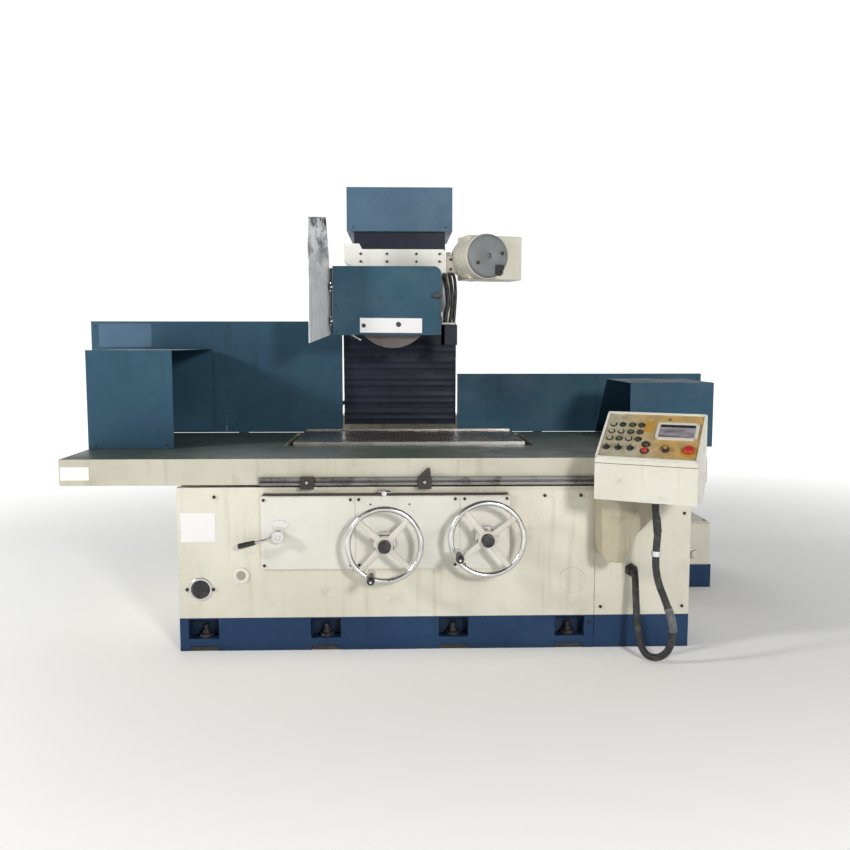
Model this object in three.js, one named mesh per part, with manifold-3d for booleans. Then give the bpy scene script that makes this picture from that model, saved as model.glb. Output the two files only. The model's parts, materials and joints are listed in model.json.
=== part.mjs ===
// Travelling-column surface grinder, in millimetres, +Z up.
// Origin: on the floor, at the centre of the machine's footprint. -Y is the operator's side, +X is right.
import * as THREE from 'three';
import { mergeVertices } from 'three/addons/utils/BufferGeometryUtils.js';
import Module from 'manifold-3d';

const wasm = await Module();
wasm.setup();

// ---- driving dimensions -------------------------------------------------------------------------
const GAP = 0.3;                 // clearance between touching pieces
const SHEET = 3;                 // sheet-metal thickness
const HALF_WIDTH = 1550;         // outer ends of the rear splash guards
const HALF_DEPTH = 1240;          // from the origin to the pendant's front corner, and to the back

const BED = { left: -858, right: 760, front: -850, back: 240, top: 560, wallTop: 645 };
const CABINET = { right: 1136, back: -460, top: 570 };
const REAR_BED = { half: 340, back: HALF_DEPTH, top: 450 };
const WAY = { height: 40, width: 90 };

const TABLE = { left: -1297, right: 1333, front: -860, back: 120, bottom: 655, top: 757 };
const TABLE_STEP = { x: 1190, y: -440 };                         // the right end is narrower than the rest
const POCKET = { left: -500, right: 580, front: -450, back: 62 };   // opening in the tray for the chuck
const CHUCK = { left: -460, right: 540, front: -440, back: 50, bottom: 690, top: 772 };
const LEFT_GUARD = { x: TABLE.left, width: 354, front: -535, back: 236, roofBack: 236, top: 1167 };
const RIGHT_GUARD = { x: TABLE.right - 8, width: -354, front: -535, back: 118, roofBack: -110, top: 1030 };

const REAR_GUARD = {
  y: 265, bottom: 745, inner: 292, leftTop: 1305, rightTop: 1040, leftSeam: -882, rightSeam: 1022,
};

const COLUMN = { half: 262, front: 345, back: 830, bottom: 792, top: 1660 };
const HOOD = { half: 268, front: 312, back: 860, bottom: 1760, top: 1980 };
const BELLOWS = { half: 232, front: 332, back: 520 };
const SADDLE = { half: 330, front: 712, back: 1100, bottom: 494, top: 788 };
const SADDLE_NOSE = { half: 280, front: 560, bottom: 612 };      // passes between the guards, over the bed
const SLATS = { moving: 5, half: 287, height: 95, front: 287, pitch: 5, bottom: 778 };

const SPINDLE = { x: -34, z: 1350 };
const WHEEL = { radius: 177.5, width: 50, y: -50, bore: 63.5 };
const WHEEL_GUARD = { left: -307, right: 190, front: -150, back: 20, bottom: 1233, top: 1546 };
const HEAD = { left: -228, right: 222, front: 20.3, bottom: 1300, top: 1640, back: 316 };

const HANDWHEEL = { radius: 138, rim: 11, y: -950 };
const CROSS_WHEEL = { x: -60, z: 439 };
const ELEVATING_WHEEL = { x: 328, z: 460 };
const PENDANT = { x: 700, y: -1076.6, turn: -27, width: 360, depth: 205, low: 635, front: 785, rear: 935 };

// ---- colours ------------------------------------------------------------------------------------
const paint = (color, roughness = 0.5, metalness = 0.1) =>
  new THREE.MeshStandardMaterial({ color, roughness, metalness });
const CREAM = paint(0xd9d3bd);
const BLUE = paint(0x35597a);
const NAVY = paint(0x1d2438);
const STEEL = paint(0x9a9c9e, 0.35, 0.9);
const CAST_IRON = paint(0x4c4f52, 0.6, 0.7);
const DARK = paint(0x181818, 0.6);
const RUBBER = paint(0x151515, 0.85, 0);
const RED = paint(0xb02018, 0.4, 0);
const ABRASIVE = paint(0xd8d4cc, 0.95, 0);

// ---- solids -------------------------------------------------------------------------------------
/** A three.js geometry as a manifold solid. */
function toSolid(geometry) {
  const bare = geometry.clone();
  bare.deleteAttribute('normal');
  bare.deleteAttribute('uv');
  const merged = mergeVertices(bare, 1e-4);
  return new wasm.Manifold(new wasm.Mesh({
    numProp: 3,
    vertProperties: new Float32Array(merged.attributes.position.array),
    triVerts: new Uint32Array(merged.index.array),
  }));
}

/** A manifold solid as a three.js geometry. */
function toGeometry(solid) {
  const mesh = solid.getMesh();
  const geometry = new THREE.BufferGeometry();
  geometry.setAttribute('position', new THREE.BufferAttribute(new Float32Array(mesh.vertProperties), 3));
  geometry.setIndex(new THREE.BufferAttribute(new Uint32Array(mesh.triVerts), 1));
  geometry.computeVertexNormals();
  return geometry;
}

const join = (...solids) => solids.reduce((whole, piece) => whole.add(piece));
const cut = (solid, ...tools) => tools.reduce((rest, tool) => rest.subtract(tool), solid);

/** Axis-aligned block between two corners. */
function block(x0, x1, y0, y1, z0, z1) {
  const geometry = new THREE.BoxGeometry(x1 - x0, y1 - y0, z1 - z0);
  geometry.translate((x0 + x1) / 2, (y0 + y1) / 2, (z0 + z1) / 2);
  return toSolid(geometry);
}

/** Round bar from one height to another along an axis, centred on (u, v) of the other two axes. */
function rod(axis, u, v, from, to, radius, sides = 24, endRadius = radius) {
  const geometry = new THREE.CylinderGeometry(endRadius, radius, to - from, sides);
  geometry.translate(0, (from + to) / 2, 0);
  if (axis === 'x') {
    geometry.rotateZ(-Math.PI / 2);
    geometry.translate(0, u, v);
  } else if (axis === 'y') {
    geometry.translate(u, 0, v);
  } else {
    geometry.rotateX(Math.PI / 2);
    geometry.translate(u, v, 0);
  }
  return toSolid(geometry);
}

/** Outline in the XZ plane, extruded along Y from one depth to another. */
function plateXZ(points, from, to) {
  const shape = new THREE.Shape(points.map(([x, z]) => new THREE.Vector2(x, z)));
  const geometry = new THREE.ExtrudeGeometry(shape, { depth: to - from, bevelEnabled: false });
  geometry.rotateX(Math.PI / 2);
  geometry.translate(0, to, 0);
  return toSolid(geometry);
}

/** Outline in the XY plane, extruded along Z from one height to another. */
function plateXY(points, from, to) {
  const shape = new THREE.Shape(points.map(([x, y]) => new THREE.Vector2(x, y)));
  const geometry = new THREE.ExtrudeGeometry(shape, { depth: to - from, bevelEnabled: false });
  geometry.translate(0, 0, from);
  return toSolid(geometry);
}

/** Outline in the YZ plane, extruded along X from one place to another. */
function plateYZ(points, from, to) {
  const shape = new THREE.Shape(points.map(([y, z]) => new THREE.Vector2(y, z)));
  const geometry = new THREE.ExtrudeGeometry(shape, { depth: to - from, bevelEnabled: false });
  geometry.rotateX(Math.PI / 2);
  geometry.rotateZ(Math.PI / 2);
  geometry.translate(from, 0, 0);
  return toSolid(geometry);
}

/** Ring of square-ish section about an axis along Y: the rim of a handwheel. */
function ring(x, y, z, radius, tube, radial = 6, around = 32) {
  const geometry = new THREE.TorusGeometry(radius, tube, radial, around);
  geometry.rotateX(Math.PI / 2);
  geometry.translate(x, y, z);
  return toSolid(geometry);
}

const machine = new THREE.Group();

/** Adds one named piece to the machine. */
function add(name, solid, material, parent = machine) {
  const mesh = new THREE.Mesh(toGeometry(solid), material);
  mesh.name = name;
  parent.add(mesh);
  return mesh;
}

// ---- bed ----------------------------------------------------------------------------------------
const POCKET_CENTRES = [-765, -292, 207, 664];
const ROD = { y: -390, z: 550 };       // axis of the table cylinder

/** Bed casting: ribbed and open underneath, two ways on top, levelling pockets along the plinth. */
function bedCasting() {
  const wall = 26;
  const columns = 6;
  const rows = 4;
  const frontWeb = 96;
  const stepX = (BED.right - BED.left - wall) / columns;
  const stepY = (BED.back - BED.front - frontWeb) / rows;
  const tools = [];
  for (let i = 0; i < columns; i += 1) {
    for (let j = 0; j < rows; j += 1) {
      const x = BED.left + wall + i * stepX;
      const y = BED.front + frontWeb + j * stepY;
      tools.push(block(x, x + stepX - wall, y, y + stepY - wall, -1, 470));
    }
  }
  for (const x of POCKET_CENTRES) {
    tools.push(block(x - 58, x + 58, BED.front - 1, BED.front + 60, 48, 126));
    tools.push(block(x - 52, x + 52, BED.front - 1, BED.front + 60, -1, 18));
  }
  tools.push(block(BED.left - 1, BED.right + 1, ROD.y - 50, ROD.y + 50, 496, BED.top + 1));
  tools.push(rod('y', -774, 246, BED.front - 1, BED.front + 70, 36));
  const body = block(BED.left, BED.right, BED.front, BED.back, 0, BED.top);
  const frontWall = block(BED.left, BED.right, BED.front, BED.front + 35, BED.top - 1, BED.wallTop);
  const flat = block(BED.left, BED.right, -160, -70, BED.top - 1, BED.top + WAY.height);
  const veeSection = [[-700, BED.top - 1], [-610, BED.top - 1], [-655, BED.top + WAY.height]];
  const vee = plateYZ(veeSection, BED.left, BED.right);
  return join(cut(body, ...tools), frontWall, flat, vee);
}

/** Rear bed: carries the column's cross ways, with a channel for the cross-feed screw. */
function rearBed() {
  const { half, back, top } = REAR_BED;
  const front = BED.back + GAP;
  const body = block(-half, half, front, back, 0, top);
  const ways = [-1, 1].map((side) => {
    const x = side * (half - 75);
    return block(x - WAY.width / 2, x + WAY.width / 2, front, back, top - 1, top + WAY.height);
  });
  const channel = block(-70, 70, front - 1, back - 40, 350, top + 1);
  const hollows = [-1, 1].flatMap((side) => [front + 40, front + 340, front + 640].map((y) => (
    block(side * 192 - 108, side * 192 + 108, y, y + 270, -1, 400)
  )));
  return join(cut(body, channel, ...hollows), ...ways);
}

/** Cast box that closes the right end of the bed, hollow in two bays underneath. */
function sideCabinet() {
  const left = BED.right + GAP;
  const box = block(left, CABINET.right, BED.front, CABINET.back, 0, CABINET.top);
  const middle = (left + CABINET.right) / 2;
  const bays = [left + 20, middle + 8].map((x) => (
    block(x, x + (CABINET.right - left) / 2 - 28, BED.front + 60, CABINET.back - 40, -1, CABINET.top - 40)
  ));
  return cut(box, ...bays);
}

/** The three cover plates behind the hand controls, joined edge to edge on one backing strip. */
function frontCovers() {
  const front = BED.front - 8;
  const back = BED.front - GAP;
  const edges = [[-538, -176], [-172, 228], [232, 425]];
  const plates = edges.map(([x0, x1]) => block(x0, x1, front, back, 325, 611));
  return join(...plates, block(-537, 424, front + 2, back, 326, 610));
}

/** Oil reservoir behind the right end, with a raised lid. */
const TANK = { left: 1150, right: 1518, front: -20, back: 560, top: 318 };
function hydraulicTank() {
  const { left, right, front, back, top } = TANK;
  const body = block(left, right, front, back, 0, top);
  const toe = block(left - 6, right + 6, front - 6, back + 6, 0, 112);
  const lid = block(left + 8, right - 8, front + 8, back - 8, top - 1, top + 8);
  const knob = rod('y', 1436, 171, front - 32, front + 1, 17, 16);
  const bays = [front + 12, (front + back) / 2 + 6].map((y) => (
    block(left + 40, right - 40, y, y + (back - front) / 2 - 18, -1, top - 12)
  ));
  return cut(join(body, toe, lid, knob), ...bays);
}

/** Flange-mounted pump motor standing on the tank lid. */
function pumpMotor() {
  const x = 1260;
  const y = 260;
  const base = TANK.top + 8 + GAP;
  return join(
    rod('z', x, y, base, base + 14, 92),
    rod('z', x, y, base + 13, base + 40, 60),
    rod('z', x, y, base + 39, base + 178, 76),
    block(x + 60, x + 112, y - 45, y + 45, base + 70, base + 140),
  );
}

/** Cylinder that drives the table; its rod comes out at the right. */
const CYLINDER = { left: -560, right: 480, radius: 38, bore: 15 };
function tableCylinder() {
  const { left, right, radius, bore } = CYLINDER;
  const barrel = rod('x', ROD.y, ROD.z, left, right, radius);
  const heads = [left + 20, right - 20].map((x) => (
    block(x - 20, x + 20, ROD.y - 44, ROD.y + 44, 496 + GAP, ROD.z + 40)
  ));
  return cut(join(barrel, ...heads), rod('x', ROD.y, ROD.z, left + 20, right + 1, bore));
}

/** Cast arm that carries the pendant off the bed's front. */
function pendantArm() {
  const [left, right, ridge, front, top] = [752, 985, 812, -1000, 634.7];
  const outline = [[left, top], [758, 404], [772, 378], [838, 376], [888, 478], [980, 556], [right, top]];
  const wall = plateXZ(outline, front, BED.front - GAP);
  const inside = [[776, 600], [782, 420], [796, 402], [822, 402], [862, 490], [944, 560], [950, 600]];
  const hollow = plateXZ(inside, front + 70, BED.front + 1);
  const leftSlope = plateXY(
    [[left - 1, front - 1], [ridge, front - 1], [left - 1, front + 32]], 370, top + 1,
  );
  const rightSlope = plateXY(
    [[ridge, front - 1], [right + 1, front - 1], [right + 1, front + 60]], 370, top + 1,
  );
  return cut(wall, hollow, leftSlope, rightSlope);
}

add('bed_casting', bedCasting(), CREAM);
add('rear_bed', rearBed(), CREAM);
add('side_cabinet', sideCabinet(), CREAM);
add('front_covers', frontCovers(), CREAM);
add('hydraulic_tank', hydraulicTank(), CREAM);
add('pump_motor', pumpMotor(), CAST_IRON);
add('table_cylinder', tableCylinder(), CAST_IRON);
add('pendant_arm', pendantArm(), CREAM);

// ---- rear splash guards -------------------------------------------------------------------------
/** One folded panel: a lip turned back along the top and a toe sloping towards the table. */
function rearGuard(x0, x1, top) {
  const { y, bottom } = REAR_GUARD;
  const knee = bottom + 52;
  const section = [
    [y, top], [y, knee], [y - 18, bottom], [y - 18 + SHEET, bottom],
    [y + SHEET, knee - 1], [y + SHEET, top - SHEET], [y + 20, top - SHEET], [y + 20, top],
  ];
  return plateYZ(section.reverse(), x0, x1);
}

/** Posts and a rail that hold one side's panels from behind. */
function guardFrame(side, top, posts) {
  const y = REAR_GUARD.y + SHEET + GAP;
  const rail = side < 0 ? [-HALF_WIDTH + 8, -REAR_GUARD.inner - 8] : [REAR_GUARD.inner + 8, HALF_WIDTH - 8];
  const parts = [block(rail[0], rail[1], y, y + 22, top - 210, top - 160)];
  for (const x of posts) {
    parts.push(block(x - 22, x + 22, y, y + 34, BED.top + GAP, top - 120));
    parts.push(block(x - 45, x + 45, BED.back - 70, y + 34, BED.top + GAP, BED.top + 14));
  }
  return join(...parts);
}

const seamHalf = 0.2;
const { leftSeam, rightSeam, leftTop, rightTop } = REAR_GUARD;
add('rear_guard_left_outer', rearGuard(-HALF_WIDTH, leftSeam - seamHalf, leftTop), BLUE);
add('rear_guard_left_inner', rearGuard(leftSeam + seamHalf, -REAR_GUARD.inner, leftTop), BLUE);
add('rear_guard_right_inner', rearGuard(REAR_GUARD.inner, rightSeam - seamHalf, rightTop), BLUE);
add('rear_guard_right_outer', rearGuard(rightSeam + seamHalf, HALF_WIDTH, rightTop), BLUE);
add('guard_frame_left', guardFrame(-1, REAR_GUARD.leftTop, [-800, -380]), BLUE);
add('guard_frame_right', guardFrame(1, REAR_GUARD.rightTop, [400, 710]), BLUE);

// ---- table --------------------------------------------------------------------------------------
const RAIL = { left: -540, right: 780, low: 654.5, high: 685 };
const CARRIAGE = { left: -850, right: 1060 };

/** Table casting: carriage on the ways, raised bed for the chuck, lug for the cylinder's rod. */
function workTable() {
  const carriage = block(CARRIAGE.left, CARRIAGE.right, -800, 100, 602.5, 652);
  const { left, right, front, back } = POCKET;
  const raised = block(left + 4, right - 4, front + 4, back - 4, 651, CHUCK.bottom - GAP);
  const lug = block(CARRIAGE.right - 20, CARRIAGE.right, ROD.y - 34, ROD.y + 34, 512, 603);
  const slots = [-340, -195, -50].flatMap((y) => [
    block(left, right, y - 8, y + 8, 672, 700),
    block(left, right, y - 15, y + 15, 662, 674),
  ]);
  return cut(join(carriage, raised, lug), ...slots);
}

/** Coolant tray: front apron, flat top and walls round the pocket that holds the chuck. */
function tableTray() {
  const { left, right, front, back, bottom, top } = TABLE;
  const outer = block(left, right, front, back, bottom, top);
  const pocket = block(POCKET.left, POCKET.right, POCKET.front, POCKET.back, bottom - 1, top + 1);
  const wall = 14;
  const under = (x0, x1, y0, y1) => block(x0, x1, y0, y1, bottom - 1, top - wall);
  const corner = block(TABLE_STEP.x, right + 1, front - 1, TABLE_STEP.y, bottom - 1, top + 1);
  const ends = [
    under(left + wall, POCKET.left - wall, front + wall, back - wall),
    under(POCKET.right + wall, TABLE_STEP.x - wall, front + wall, back - wall),
    under(TABLE_STEP.x, right - wall, TABLE_STEP.y + wall, back - wall),
  ];
  const spans = 4;
  const step = (POCKET.right - POCKET.left) / spans;
  for (let i = 0; i < spans; i += 1) {
    const x = POCKET.left + i * step;
    ends.push(under(x + wall / 2, x + step - wall / 2, front + wall, POCKET.front - wall));
  }
  return cut(outer, pocket, corner, ...ends);
}

/** Electromagnetic chuck with a shadow groove under its pole plate. */
function magneticChuck() {
  const { left, right, front, back, bottom, top } = CHUCK;
  const body = block(left, right, front, back, bottom, top);
  const grooves = [
    block(left - 1, right + 1, front - 1, front + 4, top - 24, top - 20),
    block(left - 1, left + 26, front + 60, back - 60, bottom - 1, bottom + 30),
    block(right - 26, right + 1, front + 60, back - 60, bottom - 1, bottom + 30),
  ];
  return cut(body, ...grooves);
}

/** Sheet-metal end guard: front, roof, outer end and sloping back, open towards the chuck. */
function endGuard({ x, width, front, back, roofBack, top }) {
  const low = TABLE.top + GAP;
  const side = Math.sign(width);
  const ascending = (a, b) => a - b;
  const outer = [x, x + width].sort(ascending);
  const inner = [x + side * SHEET, x + width + side].sort(ascending);
  const shell = plateYZ([[front, low], [back, low], [roofBack, top], [front, top]], ...outer);
  const [y0, y1, y2] = [front + SHEET, back - SHEET, roofBack - SHEET * (back === roofBack ? 1 : 1.6)];
  const hollow = plateYZ([[y0, low - 1], [y1, low - 1], [y2, top - SHEET], [y0, top - SHEET]], ...inner);
  return cut(shell, hollow);
}

/** Rail with a T-slot on the apron, along which the trip dogs are set. */
function dogRail() {
  const back = TABLE.front - GAP;
  const { left, right, low, high } = RAIL;
  const middle = (low + high) / 2;
  const bar = block(left, right, back - 14, back, low, high);
  return cut(
    bar,
    block(left - 1, right + 1, back - 15, back - 5, middle - 4, middle + 4),
    block(left - 1, right + 1, back - 9, back - 4, middle - 8, middle + 8),
  );
}

/** Trip dog: a clamped block whose tongue runs in the rail's slot; the pointed one has a finger. */
function tripDog(x, pointed) {
  const back = TABLE.front - GAP - 14.5;
  const middle = (RAIL.low + RAIL.high) / 2;
  const parts = [
    block(x - 26, x + 26, back - 13, back, 641, 690),
    block(x - 20, x + 20, back - 1, back + 8, middle - 3, middle + 3),
    rod('y', x, 668, back - 17, back - 12, 9, 6),
  ];
  if (pointed) {
    parts.push(plateXZ([[x - 20, 689], [x + 24, 689], [x + 20, 722], [x + 12, 722]], back - 12, back));
  }
  return join(...parts);
}

add('work_table', workTable(), CAST_IRON);
add('table_tray', tableTray(), CREAM);
add('magnetic_chuck', magneticChuck(), STEEL);
add('end_guard_left', endGuard(LEFT_GUARD), BLUE);
add('end_guard_right', endGuard(RIGHT_GUARD), BLUE);
add('piston_rod', rod('x', ROD.y, ROD.z, -40, CARRIAGE.right - 20 - GAP, 13), STEEL);
add('dog_rail', dogRail(), STEEL);
add('trip_dog_left', tripDog(-355, false), DARK);
add('trip_dog_right', tripDog(93, true), DARK);

// ---- column -------------------------------------------------------------------------------------
const SCREW = { y: 384, radius: 17 };
const CROSS_SCREW = { z: 405, radius: 20 };

/** Saddle that runs on the cross ways, with the nut lug of the cross-feed screw underneath. */
function columnSaddle() {
  const { half: w, front, back, bottom, top } = SADDLE;
  const body = block(-w, w, front, back, bottom, top);
  const { half: n, front: tip, bottom: chin } = SADDLE_NOSE;
  const nose = block(-n, n, tip, front + 1, chin, top);
  const bays = [-1, 1].map((side) => (
    block(side * 135 - 65, side * 135 + 65, front + 40, back - 40, bottom - 1, top - 60)
  ));
  const lug = block(-48, 48, 760, 860, 362, bottom + 1);
  return cut(join(body, nose, lug), ...bays, rod('y', 0, CROSS_SCREW.z, 700, 900, CROSS_SCREW.radius + 3));
}

/** Column: box casting with two vertical ways, a channel for the elevating screw and a neck for the hood. */
function columnCasting() {
  const { half: w, front, back, bottom, top } = COLUMN;
  const body = block(-w, w, front, back, bottom, top);
  const ways = [-1, 1].map((side) => (
    block(side * 175 - 25, side * 175 + 25, front - 27, front + 1, bottom, top)
  ));
  const channel = block(-75, 75, front - 1, front + 85, bottom + 30, top - 40);
  const bearing = rod('z', 0, SCREW.y, top - 45, top + 1, SCREW.radius + 3);
  const inside = block(-w + 60, w - 60, front + 145, back + 1, bottom + 60, top - 60);
  const neck = block(-190, 190, 540, 800, top - 1, HOOD.bottom - GAP);
  return join(cut(join(body, ...ways), channel, bearing, inside), neck);
}

/** Sheet cover on the column's head, open to the neck below. */
function columnHood() {
  const { half: w, front, back, bottom, top } = HOOD;
  const shell = block(-w, w, front, back, bottom, top);
  const inside = block(-w + SHEET, w - SHEET, front + SHEET, back - SHEET, bottom + SHEET, top - SHEET);
  const access = block(-150, 150, 570, 770, bottom - 1, bottom + SHEET + 1);
  return cut(shell, inside, access);
}

/** Box cover over the column's front between the wheelhead and the hood. */
function columnBellows() {
  const { half: w, front, back } = BELLOWS;
  const low = COLUMN.top + GAP;
  const high = HOOD.bottom - GAP;
  const outer = block(-w, w, front, back, low, high);
  return cut(outer, block(-w + SHEET, w - SHEET, front + SHEET, back + 1, low - 1, high - SHEET));
}

/** One telescoping cover plate, with a lip along its lower edge that reaches forward. */
function slat(index) {
  const y = SLATS.front + (SLATS.moving - index) * SLATS.pitch;
  const exposed = (HEAD.bottom - SLATS.bottom) / (SLATS.moving + 1);
  const low = SLATS.bottom + index * exposed;
  const high = Math.min(low + SLATS.height, HEAD.bottom - 1);
  const section = [[y, low], [y + 3, low], [y + 3, high], [y + 1.5, high], [y + 1.5, low + 6], [y, low + 6]];
  return plateYZ(section, -SLATS.half, SLATS.half);
}

add('column_saddle', columnSaddle(), CREAM);
add('column_casting', columnCasting(), CREAM);
add('column_hood', columnHood(), BLUE);
add('column_bellows', columnBellows(), NAVY);
for (let i = 0; i <= SLATS.moving; i += 1) {
  add(i === 0 ? 'way_cover_fixed' : `way_cover_${i}`, slat(i), NAVY);
}
add('elevating_screw', join(
  rod('z', 0, SCREW.y, COLUMN.bottom + 34, COLUMN.top - 2, SCREW.radius, 20),
  rod('z', 0, SCREW.y, COLUMN.bottom + 34, COLUMN.bottom + 50, SCREW.radius + 9, 20),
), STEEL);
add('cross_screw', join(
  rod('y', 0, CROSS_SCREW.z, BED.back + 10, REAR_BED.back - 46, CROSS_SCREW.radius, 20),
  rod('y', 0, CROSS_SCREW.z, BED.back + 10, BED.back + 26, CROSS_SCREW.radius + 12, 20),
), STEEL);

// ---- wheelhead ----------------------------------------------------------------------------------
const MOTOR = { x: 414, y: -120, z: 1597, turn: 18, radius: 104, length: 225 };

/** Wheelhead casting: block on the column ways, round spindle housing, gibs and the screw's nut. */
function wheelhead() {
  const { left, right, front, back, bottom, top } = HEAD;
  const outline = [
    [left, bottom], [right, bottom], [right, top - 14], [right - 14, top],
    [left + 50, top], [left + 36, top + 26], [left - 36, top + 26], [left - 36, top - 60], [left, top - 74],
  ];
  const relief = block(left - 1, right + 1, back - 26, back + 1, bottom - 1, bottom + 8);
  const body = cut(plateXZ(outline, front, back), relief);
  const housing = rod('y', SPINDLE.x, SPINDLE.z, front, 240, 108, 32);
  const gibs = [-1, 1].map((side) => (
    block(side * 213 - 9, side * 213 + 9, back - 1, back + 24, bottom, top - 80)
  ));
  const nut = block(-50, 50, back - 60, SCREW.y + 34, 1345, 1440);
  return cut(
    join(body, housing, ...gibs, nut),
    rod('y', SPINDLE.x, SPINDLE.z, front - 1, 232, 42, 32),
    rod('z', 0, SCREW.y, 1340, 1445, SCREW.radius + 3),
  );
}

/** Spindle with its motor rotor, and the flanges that clamp the wheel. */
function spindle() {
  const { x, z } = SPINDLE;
  const { y, width } = WHEEL;
  const gap = width / 2 + GAP;
  return join(
    rod('y', x, z, y + 10, 226, 38),
    rod('y', x, z, y - 30, y + 32, WHEEL.bore - GAP, 32),
    rod('y', x, z, y - gap - 8, y - gap, 86, 32),
    rod('y', x, z, y + gap, y + gap + 8, 86, 32),
    rod('y', x, z, y - gap - 26, y - gap - 7, 24, 6),
  );
}

function grindingWheel() {
  const { x, z } = SPINDLE;
  const { y, width, radius, bore } = WHEEL;
  const disc = rod('y', x, z, y - width / 2, y + width / 2, radius, 48);
  return cut(disc, rod('y', x, z, y - width, y + width, bore, 32));
}

/** Guard outline: square but for the rounded upper right corner. */
function guardOutline(inset = 0) {
  const { left, right, bottom, top } = WHEEL_GUARD;
  const corner = 34 - inset / 2;
  const [x0, x1, z0, z1] = [left + inset, right - inset, bottom - (inset ? 10 : 0), top - inset];
  const shape = new THREE.Path();
  shape.moveTo(x0, z0);
  shape.lineTo(x1, z0);
  shape.lineTo(x1, z1 - corner);
  shape.absarc(x1 - corner, z1 - corner, corner, 0, Math.PI / 2, false);
  shape.lineTo(x0, z1);
  return shape.getPoints(5).map((point) => [point.x, point.y]);
}

/** Guard shell behind and over the wheel, open at the front (for the cover) and at the bottom. */
function wheelGuard() {
  const { front, back } = WHEEL_GUARD;
  const shell = plateXZ(guardOutline(), front + 4, back);
  const inside = plateXZ(guardOutline(5), front, back - 6);
  return cut(shell, inside, rod('y', SPINDLE.x, SPINDLE.z, back - 10, back + 1, 60));
}

/** Hinged front cover of the wheel guard, with its two hinge barrels. */
const COVER_HINGE = { x: WHEEL_GUARD.left - 9, y: WHEEL_GUARD.front };
function guardCover() {
  const { front } = WHEEL_GUARD;
  const plate = plateXZ(guardOutline(), front, front + 3.6);
  const barrels = [1297, 1451].flatMap((z) => [
    rod('z', COVER_HINGE.x, COVER_HINGE.y, z - 16, z + 16, 7, 14),
    block(COVER_HINGE.x, WHEEL_GUARD.left + 6, front - 1, front + 3, z - 14, z + 14),
  ]);
  return join(plate, ...barrels);
}

/** Winged latch knob near the cover's right edge. */
function coverLatch() {
  const front = WHEEL_GUARD.front - GAP;
  const wing = block(152, 192, front - 24, front - 11, 1405, 1417);
  return join(rod('y', 172, 1411, front - 12, front, 12, 16), wing);
}

/** Spark flap: bent sheet hung at the guard's left edge, reaching forward and outward. */
const FLAP = { x: WHEEL_GUARD.left - 14, y: WHEEL_GUARD.front + 30, turn: -24 };
function sparkFlap() {
  const reach = 196;
  const outline = [[-reach, 1196], [-6, 1233], [-6, 1562], [-34, 1764], [-reach, 1744]];
  const sheet = plateXZ(outline, -1.5, 1.5);
  const barrel = rod('z', 0, 0, 1240, 1540, 6, 12);
  const leaf = block(-12, 0, -1.4, 1.4, 1242, 1538);
  return join(sheet, barrel, leaf);
}

/** Coolant pipe inside the guard, ending in a nozzle aimed under the wheel. */
function coolantNozzle() {
  const x = -232;
  const pipe = rod('z', x, WHEEL.y, 1238, 1536, 8, 12);
  const spout = new THREE.CylinderGeometry(5, 9, 60, 12);
  spout.rotateZ(THREE.MathUtils.degToRad(-122));
  spout.rotateX(Math.PI / 2);
  spout.translate(x + 24, WHEEL.y, 1226);
  return join(pipe, toSolid(spout));
}

/** Elevating motor: cylinder turned outward, square gear case behind it and a bracket to the head. */
function elevatingMotor() {
  const { x, y, z, turn, radius, length } = MOTOR;
  const turned = join(
    rod('y', 0, 0, 26, length, radius, 40),
    rod('y', 0, 0, 0, 27, radius - 4, 40),
    rod('y', 48, -72, -14, 1, 20, 14),
    block(-70, 205, 84, length, -radius + 2, radius - 2),
  ).rotate([0, 0, turn]).translate([x, y, z]);
  return join(turned, block(HEAD.right + GAP, 320, 40, 150, z - 66, z + 14));
}

add('wheelhead', wheelhead(), CREAM);
add('spindle', spindle(), STEEL);
add('grinding_wheel', grindingWheel(), ABRASIVE);
add('wheel_guard', wheelGuard(), BLUE);
add('guard_cover', guardCover(), BLUE);
add('cover_latch', coverLatch(), DARK);
const flap = new THREE.Group();
flap.position.set(FLAP.x, FLAP.y, 0);
flap.rotation.z = THREE.MathUtils.degToRad(90 + FLAP.turn);
machine.add(flap);
add('spark_flap', sparkFlap(), STEEL, flap);
add('coolant_nozzle', coolantNozzle(), STEEL);
add('elevating_motor', elevatingMotor(), CREAM);

// ---- hand controls ------------------------------------------------------------------------------
/** Round bar between two points. */
function bar([ax, ay, az], [bx, by, bz], radius, sides = 12, endRadius = radius) {
  const from = new THREE.Vector3(ax, ay, az);
  const span = new THREE.Vector3(bx, by, bz).sub(from);
  const geometry = new THREE.CylinderGeometry(endRadius, radius, span.length(), sides);
  geometry.translate(0, span.length() / 2, 0);
  const turn = new THREE.Quaternion().setFromUnitVectors(new THREE.Vector3(0, 1, 0), span.normalize());
  geometry.applyQuaternion(turn);
  geometry.translate(ax, ay, az);
  return toSolid(geometry);
}

const PANEL_FACE = BED.front - 8;
const HANDLE = { reach: 122, length: 98, radius: 16, neck: 11, pin: 5 };

/** Point on a handwheel's rim plane, at a distance and an angle from its axis. */
function onWheel(centre, reach, degrees) {
  const angle = THREE.MathUtils.degToRad(degrees);
  return [centre.x + reach * Math.cos(angle), centre.z + reach * Math.sin(angle)];
}

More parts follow.
